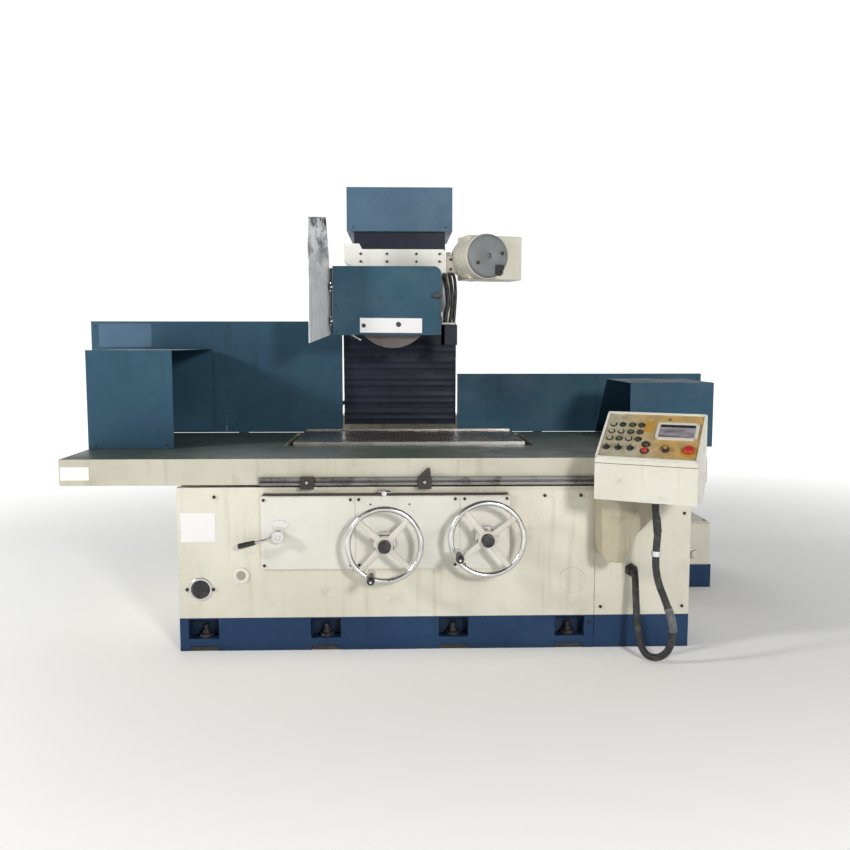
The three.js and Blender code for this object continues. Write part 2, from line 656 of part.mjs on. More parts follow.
/** Four-spoked handwheel with its graduated collar, shaft, hub knob and the pin for the handle. */
function handwheel(centre, firstSpoke, handleAngle) {
  const { x, z } = centre;
  const { y, radius, rim } = HANDWHEEL;
  const parts = [
    ring(x, y, z, radius, rim),
    rod('y', x, z, PANEL_FACE - 76, PANEL_FACE - GAP, 12, 16),
    rod('y', x, z, y + 22, y + 58, 46, 24),
    rod('y', x, z, y - 16, y + 23, 30, 24),
    rod('y', x, z, y - 40, y - 15, 24, 6),
  ];
  for (let i = 0; i < 4; i += 1) {
    const [px, pz] = onWheel(centre, radius - 2, firstSpoke + 90 * i);
    parts.push(bar([x, y + 4, z], [px, y, pz], 15, 8, 11));
  }
  const [hx, hz] = onWheel(centre, HANDLE.reach, handleAngle);
  parts.push(rod('y', hx, hz, y - 12, y + 10, 17, 12));
  parts.push(rod('y', hx, hz, y - 12 - HANDLE.length - 4, y - 11, HANDLE.pin, 10));
  return join(...parts);
}

/** Revolving handle on the handwheel's pin. */
function handle(centre, handleAngle) {
  const [hx, hz] = onWheel(centre, HANDLE.reach, handleAngle);
  const back = HANDWHEEL.y - 12 - GAP;
  const front = back - HANDLE.length;
  const grip = join(
    rod('y', hx, hz, front, front + 50, HANDLE.radius, 14, HANDLE.neck + 2),
    rod('y', hx, hz, front + 49, back, HANDLE.neck, 14, HANDLE.radius),
  );
  return cut(grip, rod('y', hx, hz, front - 1, back + 1, HANDLE.pin + 0.6, 10));
}

const LEVER = { x: -468, z: 458, tipX: -619, tipZ: 425 };

/** Table speed lever: round hub, slim rod and a thick grip. */
function tableLever() {
  const { x, z, tipX, tipZ } = LEVER;
  const y = PANEL_FACE - 24;
  const knee = [x + 0.58 * (tipX - x), y - 10, z + 0.58 * (tipZ - z)];
  return join(
    rod('y', x, z, y - 12, PANEL_FACE - GAP, 25, 20),
    bar([x, y, z], knee, 6, 10),
    bar(knee, [tipX, y - 16, tipZ], 11, 12),
  );
}

/** Reversing lever that the trip dogs push; its head ends just under the rail. */
const REVERSER = { x: -62, z: 622 };
function reversingLever() {
  const { x, z } = REVERSER;
  return join(
    rod('y', x, z, BED.front - 26, BED.front - GAP, 10, 14),
    bar([x - 24, BED.front - 20, z + 9], [x + 24, BED.front - 20, z + 5], 5.5, 8),
  );
}

const LEFT_HANDLE = 246;
const RIGHT_HANDLE = 206;
add('handwheel_cross', handwheel(CROSS_WHEEL, 47, LEFT_HANDLE), STEEL);
add('handle_cross', handle(CROSS_WHEEL, LEFT_HANDLE), DARK);
add('handwheel_elevating', handwheel(ELEVATING_WHEEL, 38, RIGHT_HANDLE), STEEL);
add('handle_elevating', handle(ELEVATING_WHEEL, RIGHT_HANDLE), DARK);
add('table_lever', tableLever(), STEEL);
add('reversing_lever', reversingLever(), STEEL);

// ---- pendant ------------------------------------------------------------------------------------
const SLOPE = Math.atan2(PENDANT.rear - PENDANT.front, PENDANT.depth);
const CONDUIT = { radius: 14, gland: 26 };

const PUSH = { stop: [168, 48], start: [168, 82], estop: [320, 56] };
const STEM = 11;

/** Box with a sloping top, holes for the push buttons' stems, and the conduit's boss underneath. */
function pendantBox() {
  const { width, depth, low, front, rear } = PENDANT;
  const side = [[0, low], [depth * 0.72, low], [depth, low + 62], [depth, rear], [0, front]];
  const body = plateYZ(side, 0, width);
  const tilt = [THREE.MathUtils.radToDeg(SLOPE), 0, 0];
  const holes = Object.values(PUSH).map(([u, v]) => (
    rod('z', u, v, -9, 3, STEM + 1.5, 20).rotate(tilt).translate([0, 0, front])
  ));
  return cut(join(body, rod('z', 198, 120, low - 20, low + 1, 20, 16)), ...holes);
}

/** Push button, knob or mushroom head standing on the sloping panel at (u, v). */
function control(radius, height, capRadius = radius, sides = 16) {
  const stem = rod('z', 0, 0, GAP, height, radius, sides);
  return capRadius === radius ? stem : join(stem, rod('z', 0, 0, height - 9, height + 5, capRadius, 20));
}

const selector = () => join(rod('z', 0, 0, GAP, 7, 12, 16), block(-3.5, 3.5, -11, 11, 6, 18));

const pendant = new THREE.Group();
pendant.position.set(PENDANT.x, PENDANT.y, 0);
pendant.rotation.z = THREE.MathUtils.degToRad(PENDANT.turn);
machine.add(pendant);
add('pendant_box', pendantBox(), CREAM, pendant);

const panel = new THREE.Group();
panel.position.set(0, 0, PENDANT.front);
panel.rotation.x = SLOPE;
pendant.add(panel);

/** Adds a control on the panel: u runs to the right from the left edge, v up the slope. */
function addControl(name, solid, material, u, v) {
  add(name, solid, material, panel).position.set(u, v, 0);
}

addControl('estop_button', control(STEM, 14, 19), RED, ...PUSH.estop);
addControl('feed_knob', control(13, 17, 13, 18), DARK, 241, 56);
[31, 74, 117].forEach((u, i) => addControl(`selector_${i + 1}`, selector(), DARK, u, 56));
addControl('stop_button', control(STEM, 10), RED, ...PUSH.stop);
addControl('start_button', control(STEM, 10), DARK, ...PUSH.start);

// ---- conduit ------------------------------------------------------------------------------------
const GLAND = { x: 903, z: 312 };
const CONDUIT_ROUTE = [
  [931, -1059.6, 614.5], [931, -1059.6, 590], [937, -1060, 545], [940, -1062, 500], [936, -1064, 440],
  [936, -1065, 378], [947, -1067, 320], [968, -1070, 264], [990, -1072, 205], [1003, -1070, 150],
  [1003, -1062, 97], [988, -1048, 48], [958, -1028, 22], [926, -1003, 27], [908, -980, 66],
  [903, -958, 124], [903, -938, 190], [903, -923, 250], [903, -912, 296], [903, -896, 312],
  [903, -880.6, 312],
];

function conduit() {
  const points = CONDUIT_ROUTE.map((point) => new THREE.Vector3(...point));
  const curve = new THREE.CatmullRomCurve3(points, false, 'centripetal');
  const sides = 10;
  const section = new THREE.Shape();
  for (let i = 0; i < sides; i += 1) {
    const angle = (2 * Math.PI * i) / sides;
    const [x, y] = [CONDUIT.radius * Math.cos(angle), CONDUIT.radius * Math.sin(angle)];
    if (i === 0) section.moveTo(x, y);
    else section.lineTo(x, y);
  }
  section.closePath();
  return toSolid(new THREE.ExtrudeGeometry(section, { steps: 30, extrudePath: curve, bevelEnabled: false }));
}

add('conduit', conduit(), RUBBER);
add('conduit_gland', join(
  rod('y', GLAND.x, GLAND.z, BED.front - 12, BED.front - GAP, CONDUIT.gland, 6),
  rod('y', GLAND.x, GLAND.z, BED.front - 30, BED.front - 11, CONDUIT.gland - 5, 16),
), DARK);

export default machine;
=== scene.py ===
"""Looks of the travelling-column surface grinder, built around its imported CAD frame. Metres, +Z up."""
import json
import math

import bmesh
import bpy
from mathutils import Matrix, Vector


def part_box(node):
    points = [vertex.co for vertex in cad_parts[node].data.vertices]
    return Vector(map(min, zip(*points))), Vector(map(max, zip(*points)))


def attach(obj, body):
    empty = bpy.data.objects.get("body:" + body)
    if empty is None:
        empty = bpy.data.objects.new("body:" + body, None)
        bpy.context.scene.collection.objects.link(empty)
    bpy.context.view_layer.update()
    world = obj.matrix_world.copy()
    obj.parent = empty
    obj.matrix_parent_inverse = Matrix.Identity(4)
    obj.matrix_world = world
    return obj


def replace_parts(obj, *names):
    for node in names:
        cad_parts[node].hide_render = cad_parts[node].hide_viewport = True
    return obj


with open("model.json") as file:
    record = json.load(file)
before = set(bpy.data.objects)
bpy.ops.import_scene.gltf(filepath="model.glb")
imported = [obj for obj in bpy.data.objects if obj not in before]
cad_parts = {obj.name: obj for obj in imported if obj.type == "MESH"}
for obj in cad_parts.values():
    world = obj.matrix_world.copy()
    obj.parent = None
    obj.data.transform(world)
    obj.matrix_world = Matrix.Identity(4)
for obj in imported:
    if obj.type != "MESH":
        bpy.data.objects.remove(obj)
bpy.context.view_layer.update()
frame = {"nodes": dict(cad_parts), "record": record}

# ---- camera and studio --------------------------------------------------------------------------
EYE = Vector((0.0, -4.136, 1.196))
YAW = math.radians(-1.66)
PITCH = math.radians(5.43)


def make_camera():
    data = bpy.data.cameras.new("camera")
    data.sensor_width = 36
    data.lens = 36.5
    camera = bpy.data.objects.new("camera", data)
    camera.location = EYE
    camera.rotation_euler = (math.pi / 2 - PITCH, 0, YAW)
    bpy.context.collection.objects.link(camera)
    bpy.context.scene.camera = camera


def area_light(name, place, target, size, power, color=(1, 1, 1)):
    data = bpy.data.lights.new(name, "AREA")
    data.shape = "DISK"
    data.size = size
    data.energy = power
    data.color = color
    light = bpy.data.objects.new(name, data)
    light.location = place
    light.rotation_euler = (Vector(target) - Vector(place)).to_track_quat("-Z", "Y").to_euler()
    bpy.context.collection.objects.link(light)


def around(azimuth, elevation, distance=6.0):
    """Point seen from the machine's middle at an azimuth right of the operator's side."""
    turn, lift = math.radians(azimuth), math.radians(elevation)
    return (
        distance * math.sin(turn) * math.cos(lift),
        -0.4 - distance * math.cos(turn) * math.cos(lift),
        0.9 + distance * math.sin(lift),
    )


def make_world():
    """White behind the machine, dim overhead and on the operator's side, for depth in the shadows."""
    world = bpy.data.worlds.new("studio")
    world.use_nodes = True
    tree = world.node_tree
    place = tree.nodes.new("ShaderNodeTexCoord")
    split = tree.nodes.new("ShaderNodeSeparateXYZ")
    fade = tree.nodes.new("ShaderNodeMapRange")
    for key, number in (("From Min", 0.37), ("From Max", 0.55), ("To Min", 1.0), ("To Max", 0.4)):
        fade.inputs[key].default_value = number
    backdrop = tree.nodes.new("ShaderNodeMapRange")
    for key, number in (("From Min", -0.1), ("From Max", 0.7), ("To Max", 1.03)):
        backdrop.inputs[key].default_value = number
    haze = tree.nodes.new("ShaderNodeMapRange")
    for key, number in (("From Min", 0.0), ("From Max", 0.22), ("To Min", 0.72), ("To Max", 0.13)):
        haze.inputs[key].default_value = number
    tree.links.new(split.outputs["Z"], haze.inputs["Value"])
    tree.links.new(haze.outputs["Result"], backdrop.inputs["To Min"])
    product = tree.nodes.new("ShaderNodeMath")
    product.operation = "MULTIPLY"
    tree.links.new(place.outputs["Generated"], split.inputs[0])
    tree.links.new(split.outputs["Z"], fade.inputs["Value"])
    tree.links.new(split.outputs["Y"], backdrop.inputs["Value"])
    tree.links.new(fade.outputs["Result"], product.inputs[0])
    tree.links.new(backdrop.outputs["Result"], product.inputs[1])
    tree.links.new(product.outputs["Value"], tree.nodes["Background"].inputs["Strength"])
    tree.nodes["Background"].inputs["Color"].default_value = (1, 1, 1, 1)
    bpy.context.scene.world = world


def make_floor():
    """Pale floor that brightens with distance until it meets the white horizon."""
    mesh = bpy.data.meshes.new("floor")
    mesh.from_pydata([(-60, -60, 0), (60, -60, 0), (60, 60, 0), (-60, 60, 0)], [], [(0, 1, 2, 3)])
    floor = bpy.data.objects.new("floor", mesh)
    bpy.context.collection.objects.link(floor)
    material = bpy.data.materials.new("pale_floor")
    material.use_nodes = True
    tree = material.node_tree
    shader = tree.nodes["Principled BSDF"]
    shader.inputs["Base Color"].default_value = (0.88, 0.88, 0.87, 1)
    shader.inputs["Roughness"].default_value = 0.9
    shader.inputs["Specular IOR Level"].default_value = 0.1
    shader.inputs["Emission Color"].default_value = (1, 1, 1, 1)
    place = tree.nodes.new("ShaderNodeTexCoord")
    length = tree.nodes.new("ShaderNodeVectorMath")
    length.operation = "LENGTH"
    glow = tree.nodes.new("ShaderNodeMapRange")
    glow.interpolation_type = "SMOOTHSTEP"
    for key, number in (("From Min", 1.2), ("From Max", 7.0), ("To Min", 0.10), ("To Max", 0.95)):
        glow.inputs[key].default_value = number
    tree.links.new(place.outputs["Object"], length.inputs[0])
    tree.links.new(length.outputs["Value"], glow.inputs["Value"])
    tree.links.new(glow.outputs["Result"], shader.inputs["Emission Strength"])
    mesh.materials.append(material)


def make_studio():
    make_world()
    make_floor()
    target = (0, -0.4, 0.9)
    area_light("left_key", around(-64, 20), target, 0.8, 185, (1.0, 0.99, 0.96))
    area_light("front_key", around(20, 15), target, 0.8, 160, (1.0, 0.985, 0.95))
    area_light("rear_fill", around(200, 28), target, 3.0, 60)
    bpy.context.scene.view_settings.view_transform = "Standard"


# ---- material building --------------------------------------------------------------------------
class Recipe:
    """A material's node tree with short calls for the nodes that the materials below share."""

    def __init__(self, name):
        self.material = bpy.data.materials.new(name)
        self.material.use_nodes = True
        self.tree = self.material.node_tree
        self.shader = self.tree.nodes["Principled BSDF"]
        self.place = self.tree.nodes.new("ShaderNodeTexCoord").outputs["Object"]

    def link(self, value, socket):
        if isinstance(value, bpy.types.NodeSocket):
            self.tree.links.new(value, socket)
        elif isinstance(value, (tuple, list)):
            needs_alpha = len(value) == 3 and len(socket.default_value) == 4
            socket.default_value = (*value, 1.0) if needs_alpha else value
        else:
            socket.default_value = value

    def set(self, **values):
        for key, value in values.items():
            self.link(value, self.shader.inputs[key.replace("_", " ")])

    def stretched(self, scale):
        node = self.tree.nodes.new("ShaderNodeMapping")
        node.inputs["Scale"].default_value = scale
        self.link(self.place, node.inputs["Vector"])
        return node.outputs["Vector"]

    def noise(self, scale, detail=4.0, rough=0.55, vector=None):
        node = self.tree.nodes.new("ShaderNodeTexNoise")
        node.inputs["Scale"].default_value = scale
        node.inputs["Detail"].default_value = detail
        node.inputs["Roughness"].default_value = rough
        self.link(vector or self.place, node.inputs["Vector"])
        return node.outputs["Fac"]

    def cells(self, scale, vector=None):
        node = self.tree.nodes.new("ShaderNodeTexVoronoi")
        node.inputs["Scale"].default_value = scale
        self.link(vector or self.place, node.inputs["Vector"])
        return node.outputs["Distance"]

    def ramp(self, value, low, high, a=0.0, b=1.0):
        node = self.tree.nodes.new("ShaderNodeMapRange")
        node.interpolation_type = "SMOOTHSTEP"
        for key, number in (("From Min", low), ("From Max", high), ("To Min", a), ("To Max", b)):
            node.inputs[key].default_value = number
        self.link(value, node.inputs["Value"])
        return node.outputs["Result"]

    def math(self, operation, a, b=0.0):
        node = self.tree.nodes.new("ShaderNodeMath")
        node.operation = operation
        node.use_clamp = operation in ("ADD", "MULTIPLY", "SUBTRACT")
        self.link(a, node.inputs[0])
        self.link(b, node.inputs[1])
        return node.outputs[0]

    def mix(self, fac, a, b, blend="MIX"):
        node = self.tree.nodes.new("ShaderNodeMix")
        node.data_type = "RGBA"
        node.blend_type = blend
        self.link(fac, node.inputs[0])
        self.link(a, node.inputs[6])
        self.link(b, node.inputs[7])
        return node.outputs[2]

    def edges(self, radius=0.004):
        """1 along sharp edges, 0 on flat stretches."""
        bevel = self.tree.nodes.new("ShaderNodeBevel")
        bevel.samples = 4
        bevel.inputs["Radius"].default_value = radius
        normal = self.tree.nodes.new("ShaderNodeNewGeometry").outputs["Normal"]
        dot = self.tree.nodes.new("ShaderNodeVectorMath")
        dot.operation = "DOT_PRODUCT"
        self.link(bevel.outputs[0], dot.inputs[0])
        self.link(normal, dot.inputs[1])
        return self.ramp(dot.outputs["Value"], 0.99, 0.86)

    # Ambient-occlusion mask, 1 in corners, creases and gaps where shade falls; the materials use it to paint
    # shade into colour.
    def crevice_shade(self, distance=0.06):
        node = self.tree.nodes.new("ShaderNodeAmbientOcclusion")
        node.samples = 4
        node.inputs["Distance"].default_value = distance
        return self.ramp(node.outputs["AO"], 0.85, 0.35)

    def height(self):
        node = self.tree.nodes.new("ShaderNodeSeparateXYZ")
        self.link(self.place, node.inputs[0])
        return node.outputs["Z"]

    def bump(self, value, strength=0.2, distance=0.001):
        node = self.tree.nodes.new("ShaderNodeBump")
        node.inputs["Strength"].default_value = strength
        node.inputs["Distance"].default_value = distance
        self.link(value, node.inputs["Height"])
        self.link(node.outputs[0], self.shader.inputs["Normal"])


def worn_paint(name, color, dark, light, roughness=0.45, dirt_and_corner_shade=0.5, streaks=0.4, chips=0.35,
               bare=(0.32, 0.30, 0.27), shine=0.45):
    """Enamel on metal: patchy tone, soiled runs, painted shade in the corners and chipped edges."""
    r = Recipe(name)
    patches = r.ramp(r.noise(2.3, 5.0, 0.6), 0.35, 0.68)
    tone = r.mix(patches, color, light)
    runs = r.ramp(r.noise(1.0, 6.0, 0.65, r.stretched((26, 26, 1.6))), 0.52, 0.78)
    tone = r.mix(r.math("MULTIPLY", runs, streaks), tone, dark)
    smudges = r.ramp(r.noise(7.5, 8.0, 0.7), 0.55, 0.75)
    tone = r.mix(r.math("MULTIPLY", smudges, dirt_and_corner_shade * 0.7), tone, dark)
    # Painted shade: ambient occlusion lays the dark colour into corners and creases.
    painted_corner_shade = r.math("MULTIPLY", r.crevice_shade(), dirt_and_corner_shade)
    tone = r.mix(painted_corner_shade, tone, dark)
    specks = r.ramp(r.noise(160, 2.0, 0.5), 0.68, 0.74)
    tone = r.mix(r.math("MULTIPLY", specks, dirt_and_corner_shade * 0.6), tone, dark)
    ragged = r.ramp(r.noise(38, 6.0, 0.7), 0.50, 0.62)
    worn = r.math("MULTIPLY", r.math("MULTIPLY", r.edges(), ragged), chips)
    tone = r.mix(worn, tone, bare)
    r.set(Base_Color=tone, Metallic=0.0, Specular_IOR_Level=shine)
    r.set(Roughness=r.ramp(r.noise(9, 4.0), 0.3, 0.7, roughness - 0.08, roughness + 0.14))
    r.bump(r.math("ADD", r.math("MULTIPLY", r.noise(420, 2.0), 0.35), r.noise(34, 3.0)), 0.10, 0.0006)
    return r.material


def metal(name, color, roughness, stain, stained, brushed=(1, 1, 1), scratch=0.15, metallic=1.0):
    """Bare or plated metal with brushing, stains, painted shade in its creases and rougher patches."""
    r = Recipe(name)
    brushing = r.noise(90, 3.0, 0.6, r.stretched(brushed))
    stains = r.ramp(r.noise(14, 8.0, 0.7), 0.48, 0.70)
    tone = r.mix(r.math("MULTIPLY", stains, stained), color, stain)
    # Painted shade: ambient occlusion lays the stain colour into creases.
    tone = r.mix(r.math("MULTIPLY", r.crevice_shade(0.02), 0.6), tone, stain)
    rough = r.math("ADD", r.math("MULTIPLY", brushing, 0.22), r.math("MULTIPLY", stains, 0.25))
    r.set(Base_Color=tone, Metallic=metallic, Roughness=r.math("ADD", rough, roughness - 0.11))
    r.bump(brushing, scratch, 0.0005)
    return r.material


def plastic(name, color, roughness=0.4, dust=0.2, grain=300):
    """Moulded plastic or rubber with fine grain, dust and rubbed corners."""
    r = Recipe(name)
    dusty = r.math("MULTIPLY", r.ramp(r.noise(30, 6.0, 0.7), 0.45, 0.75), dust)
    pale = tuple(min(1.0, c * 0.6 + 0.22) for c in color)
    tone = r.mix(dusty, color, pale)
    tone = r.mix(r.math("MULTIPLY", r.edges(0.0015), 0.35), tone, pale)
    r.set(Base_Color=tone, Roughness=r.ramp(r.noise(25), 0.3, 0.7, roughness - 0.08, roughness + 0.12))
    r.bump(r.noise(grain, 2.0), 0.15, 0.0004)
    return r.material


# ---- mesh building ------------------------------------------------------------------------------
def finish_mesh(name, bm, materials, body, slot, bevel=0.0, segments=2, sharp=32):
    """Turns a bmesh into a smooth-shaded piece that rides on a body; the slot argument is not used."""
    mesh = bpy.data.meshes.new(name)
    bmesh.ops.recalc_face_normals(bm, faces=bm.faces)
    bm.to_mesh(mesh)
    bm.free()
    for material in materials if isinstance(materials, (list, tuple)) else [materials]:
        mesh.materials.append(material)
    mesh.polygons.foreach_set("use_smooth", [True] * len(mesh.polygons))
    mesh.set_sharp_from_angle(angle=math.radians(sharp))
    piece = bpy.data.objects.new(name, mesh)
    bpy.context.collection.objects.link(piece)
    if bevel:
        rounding = piece.modifiers.new("edges", "BEVEL")
        rounding.width = bevel
        rounding.segments = segments
        rounding.limit_method = "ANGLE"
        rounding.angle_limit = math.radians(sharp)
        rounding.harden_normals = True
    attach(piece, body)
    return piece


BODY_OF = {node: body for body, nodes in frame["record"]["behaviour"]["bodies"].items() for node in nodes}
SLOT_OF = {part["node"]: part["material_slot"] for part in frame["record"]["subparts"]}


def refined(node, materials, bevel=0.002, choose=None, level=None):
    """A finely edged copy of a CAD node, in its place. choose(face) picks a material per face."""
    bm = bmesh.new()
    bm.from_mesh(frame["nodes"][node].data)
    bmesh.ops.remove_doubles(bm, verts=bm.verts, dist=1e-5)
    if level is not None:
        cut = bm.verts[:] + bm.edges[:] + bm.faces[:]
        bmesh.ops.bisect_plane(bm, geom=cut, dist=1e-6, plane_co=(0, 0, level), plane_no=(0, 0, 1))
    for face in bm.faces:
        face.normal_update()
        face.material_index = choose(face) if choose else 0
    bmesh.ops.dissolve_limit(
        bm, angle_limit=math.radians(0.5), verts=bm.verts[:], edges=bm.edges[:], delimit={"MATERIAL"}
    )
    piece = finish_mesh(node + "_finish", bm, materials, BODY_OF[node], SLOT_OF[node], bevel)
    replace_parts(piece, node)
    return piece


def add_box(bm, low, high, moved=Matrix()):
    """Adds a box to a bmesh, by its low and high corner, in the space that a matrix gives."""
    centre = [(a + b) / 2 for a, b in zip(low, high)]
    size = [b - a for a, b in zip(low, high)]
    place = Matrix.Translation(centre) @ Matrix.Diagonal((*size, 1.0))
    bmesh.ops.create_cube(bm, size=1.0, matrix=moved @ place)


def turning(axis):
    """Rotation that takes +Z to the given direction."""
    return Vector((0, 0, 1)).rotation_difference(Vector(axis)).to_matrix().to_4x4()


def mm(*numbers):
    """Profile points from (radius, distance) pairs in millimetres, written one after another."""
    return [(radius / 1000, along / 1000) for radius, along in zip(numbers[::2], numbers[1::2])]


def add_lathe(bm, profile, place, axis=(0, -1, 0), sides=48):
    """Adds a turned solid: profile is (radius, distance along axis) from end to end."""
    frame_of = Matrix.Translation(place) @ turning(axis)
    rings = []
    for radius, along in profile:
        if radius < 1e-6:
            rings.append([bm.verts.new(frame_of @ Vector((0, 0, along)))])
            continue
        rings.append([
            bm.verts.new(frame_of @ Vector((radius * math.cos(a), radius * math.sin(a), along)))
            for a in (2 * math.pi * i / sides for i in range(sides))
        ])
    for first, second in zip(rings, rings[1:]):
        for i in range(sides):
            j = (i + 1) % sides
            if len(first) == 1 and len(second) > 1:
                bm.faces.new((first[0], second[i], second[j]))
            elif len(second) == 1 and len(first) > 1:
                bm.faces.new((first[i], second[0], first[j]))
            elif len(first) > 1:
                bm.faces.new((first[i], second[i], second[j], first[j]))


def close_rings(bm, rings):
    """Joins rings of equal count into a closed skin with a face at either end."""
    count = len(rings[0])
    for first, second in zip(rings, rings[1:]):
        for i in range(count):
            j = (i + 1) % count
            bm.faces.new((first[i], first[j], second[j], second[i]))
    bm.faces.new(rings[0][::-1])
    bm.faces.new(rings[-1])


def smooth_path(points, steps=6):
    """Catmull-Rom curve through the points."""
    points = [Vector(p) for p in points]
    ends = [2 * points[0] - points[1]] + points + [2 * points[-1] - points[-2]]
    path = []
    for a, b, c, d in zip(ends, ends[1:], ends[2:], ends[3:]):
        for k in range(steps):
            t = k / steps
            path.append(0.5 * (2 * b + (c - a) * t + (2 * a - 5 * b + 4 * c - d) * t * t
                               + (3 * b - a - 3 * c + d) * t ** 3))
    path.append(points[-1])
    return path


def add_tube(bm, path, radius, sides=14):
    """Adds a round tube along a path; radius is a number or a function of the distance run."""
    rings = []
    side = None
    run = 0.0
    for i, point in enumerate(path):
        ahead = path[min(i + 1, len(path) - 1)] - path[max(i - 1, 0)]
        ahead.normalize()
        side = ahead.orthogonal() if side is None else side - ahead * side.dot(ahead)
        side.normalize()
        across = ahead.cross(side)
        if i:
            run += (point - path[i - 1]).length
        r = radius(run) if callable(radius) else radius
        rings.append([
            bm.verts.new(point + (side * math.cos(a) + across * math.sin(a)) * r)
            for a in (2 * math.pi * k / sides for k in range(sides))
        ])
    close_rings(bm, rings)


def turned(name, shape, material, body, slot, *finish, **options):
    """One turned piece: shape holds add_lathe's profile, place, axis and sides."""
    bm = bmesh.new()
    add_lathe(bm, *shape)
    return finish_mesh(name, bm, material, body, slot, *finish, **options)


def boxes(name, corners, material, body, slot, *finish):
    """One piece made of boxes, each given by its low and high corner."""
    bm = bmesh.new()
    for low, high in corners:
        add_box(bm, low, high)
    return finish_mesh(name, bm, material, body, slot, *finish)


def add_screw(bm, place, axis, radius, kind="hex"):
    """Adds a hex-head, socket-head or pan-head screw standing on a face."""
    base = Matrix.Translation(place) @ turning(axis)
    tall = {"hex": 0.65, "socket": 1.0, "pan": 0.45}[kind] * radius
    sides = 6 if kind == "hex" else 20
    if kind == "hex":
        add_lathe(bm, [(0, 0), (radius * 1.35, 0), (radius * 1.35, radius * 0.16), (0, radius * 0.16)],
                  place, axis, 24)
    rim = 0.9 if kind == "hex" else 0.86
    profile = [(0, 0), (radius, 0), (radius, tall * 0.8), (radius * rim, tall)]
    if kind == "socket":
        profile += [(radius * 0.5, tall), (radius * 0.5, tall * 0.4), (0, tall * 0.4)]
    else:
        profile += [(0, tall * (1.0 if kind == "hex" else 1.1))]
    add_lathe(bm, profile, place, axis, sides)
    if kind == "pan":
        for turn in (0, math.pi / 2):
            slot = base @ Matrix.Translation((0, 0, tall * 1.08)) @ Matrix.Rotation(turn, 4, "Z")
            size = Matrix.Diagonal((radius * 1.1, radius * 0.2, radius * 0.1, 1))
            bmesh.ops.create_cube(bm, size=1.0, matrix=slot @ size)


def screws(name, places, axis, radius, body, kind="hex", material=None):
    """One piece holding a set of identical screws."""
    bm = bmesh.new()
    for place in places:
        add_screw(bm, place, axis, radius, kind)
    return finish_mesh(name, bm, material or M["screw"], body, "black_steel", 0.0)


def plate_from_outline(name, outline, to_place, thickness, material, body, slot, bevel=0.0008):
    """Flat plate: outline points (u, v) mapped by to_place(u, v, depth) and given a thickness."""
    bm = bmesh.new()
    near = [bm.verts.new(to_place(u, v, 0.0)) for u, v in outline]
    far = [bm.verts.new(to_place(u, v, thickness)) for u, v in outline]
    bm.faces.new(near)
    bm.faces.new(far[::-1])
    for i in range(len(outline)):
        j = (i + 1) % len(outline)
        bm.faces.new((near[j], near[i], far[i], far[j]))
    return finish_mesh(name, bm, material, body, slot, bevel)


# ---- the machine's materials --------------------------------------------------------------------
def flap_steel():
    """Zinc-grey sheet with vertical streaks and dark blotches, denser towards the top."""
    r = Recipe("flap_steel")
    blotch = r.ramp(r.noise(11, 9.0, 0.72), 0.42, 0.60)
    high = r.ramp(r.height(), 1.42, 1.74, 0.12, 1.0)
    dark = r.math("MULTIPLY", blotch, high)
    streak = r.ramp(r.noise(1.0, 6.0, 0.6, r.stretched((40, 40, 3))), 0.5, 0.8)
    tone = r.mix(streak, (0.78, 0.80, 0.83), (0.60, 0.61, 0.63))
    tone = r.mix(dark, tone, (0.055, 0.055, 0.06))
    r.set(Base_Color=tone, Metallic=0.25, Roughness=r.math("ADD", r.math("MULTIPLY", dark, 0.4), 0.42))
    r.bump(r.noise(60, 8.0, 0.7), 0.5, 0.002)
    return r.material


def pole_plate():
    """Ground chuck face: fine brass-brown pole lines across the steel, oily and scratched."""
    r = Recipe("pole_plate")
    wave = r.tree.nodes.new("ShaderNodeTexWave")
    wave.bands_direction = "X"
    wave.inputs["Scale"].default_value = 18.0
    r.link(r.place, wave.inputs["Vector"])
    line = r.ramp(wave.outputs["Fac"], 0.72, 0.86)
    oil = r.ramp(r.noise(6, 8.0, 0.7), 0.38, 0.66)
    tone = r.mix(line, (0.42, 0.40, 0.38), (0.30, 0.21, 0.10))
    tone = r.mix(r.math("MULTIPLY", oil, 0.75), tone, (0.14, 0.085, 0.05))
    r.set(Base_Color=tone, Metallic=0.85, Roughness=r.ramp(oil, 0, 1, 0.24, 0.5))
    r.bump(r.noise(70, 4.0, 0.6, r.stretched((0.4, 12, 12))), 0.12, 0.0004)
    return r.material


def abrasive():
    """Vitrified wheel: coarse plum-grey grain with darker patches, both greys kept dark as painted shade of
    the guard round the wheel.
    """
    r = Recipe("abrasive")
    grain = r.cells(420)
    # Painted shade: the grain's greys are set dark for the shadow inside the wheel guard.
    tone = r.mix(r.ramp(grain, 0.1, 0.6), (0.30, 0.26, 0.26), (0.17, 0.15, 0.15))
    tone = r.mix(r.ramp(r.noise(8, 5), 0.45, 0.7), tone, (0.15, 0.12, 0.11))
    r.set(Base_Color=tone, Roughness=0.92)
    r.bump(grain, 0.7, 0.0015)
    return r.material


def panel_film():
    """Printed front film of the pendant: cream, turning ochre and orange towards the lower right."""
    r = Recipe("panel_film")
    split = r.tree.nodes.new("ShaderNodeSeparateXYZ")
    r.link(r.place, split.inputs[0])
    along = r.ramp(split.outputs["X"], 0.80, 0.95)
    worn = r.ramp(r.noise(22, 7.0, 0.7), 0.42, 0.62)
    tone = r.mix(along, (0.44, 0.41, 0.30), (0.52, 0.33, 0.11))
    tone = r.mix(r.math("MULTIPLY", worn, 0.55), tone, (0.26, 0.20, 0.11))
    r.set(Base_Color=tone, Roughness=0.42)
    r.bump(r.noise(200), 0.08, 0.0003)
    return r.material


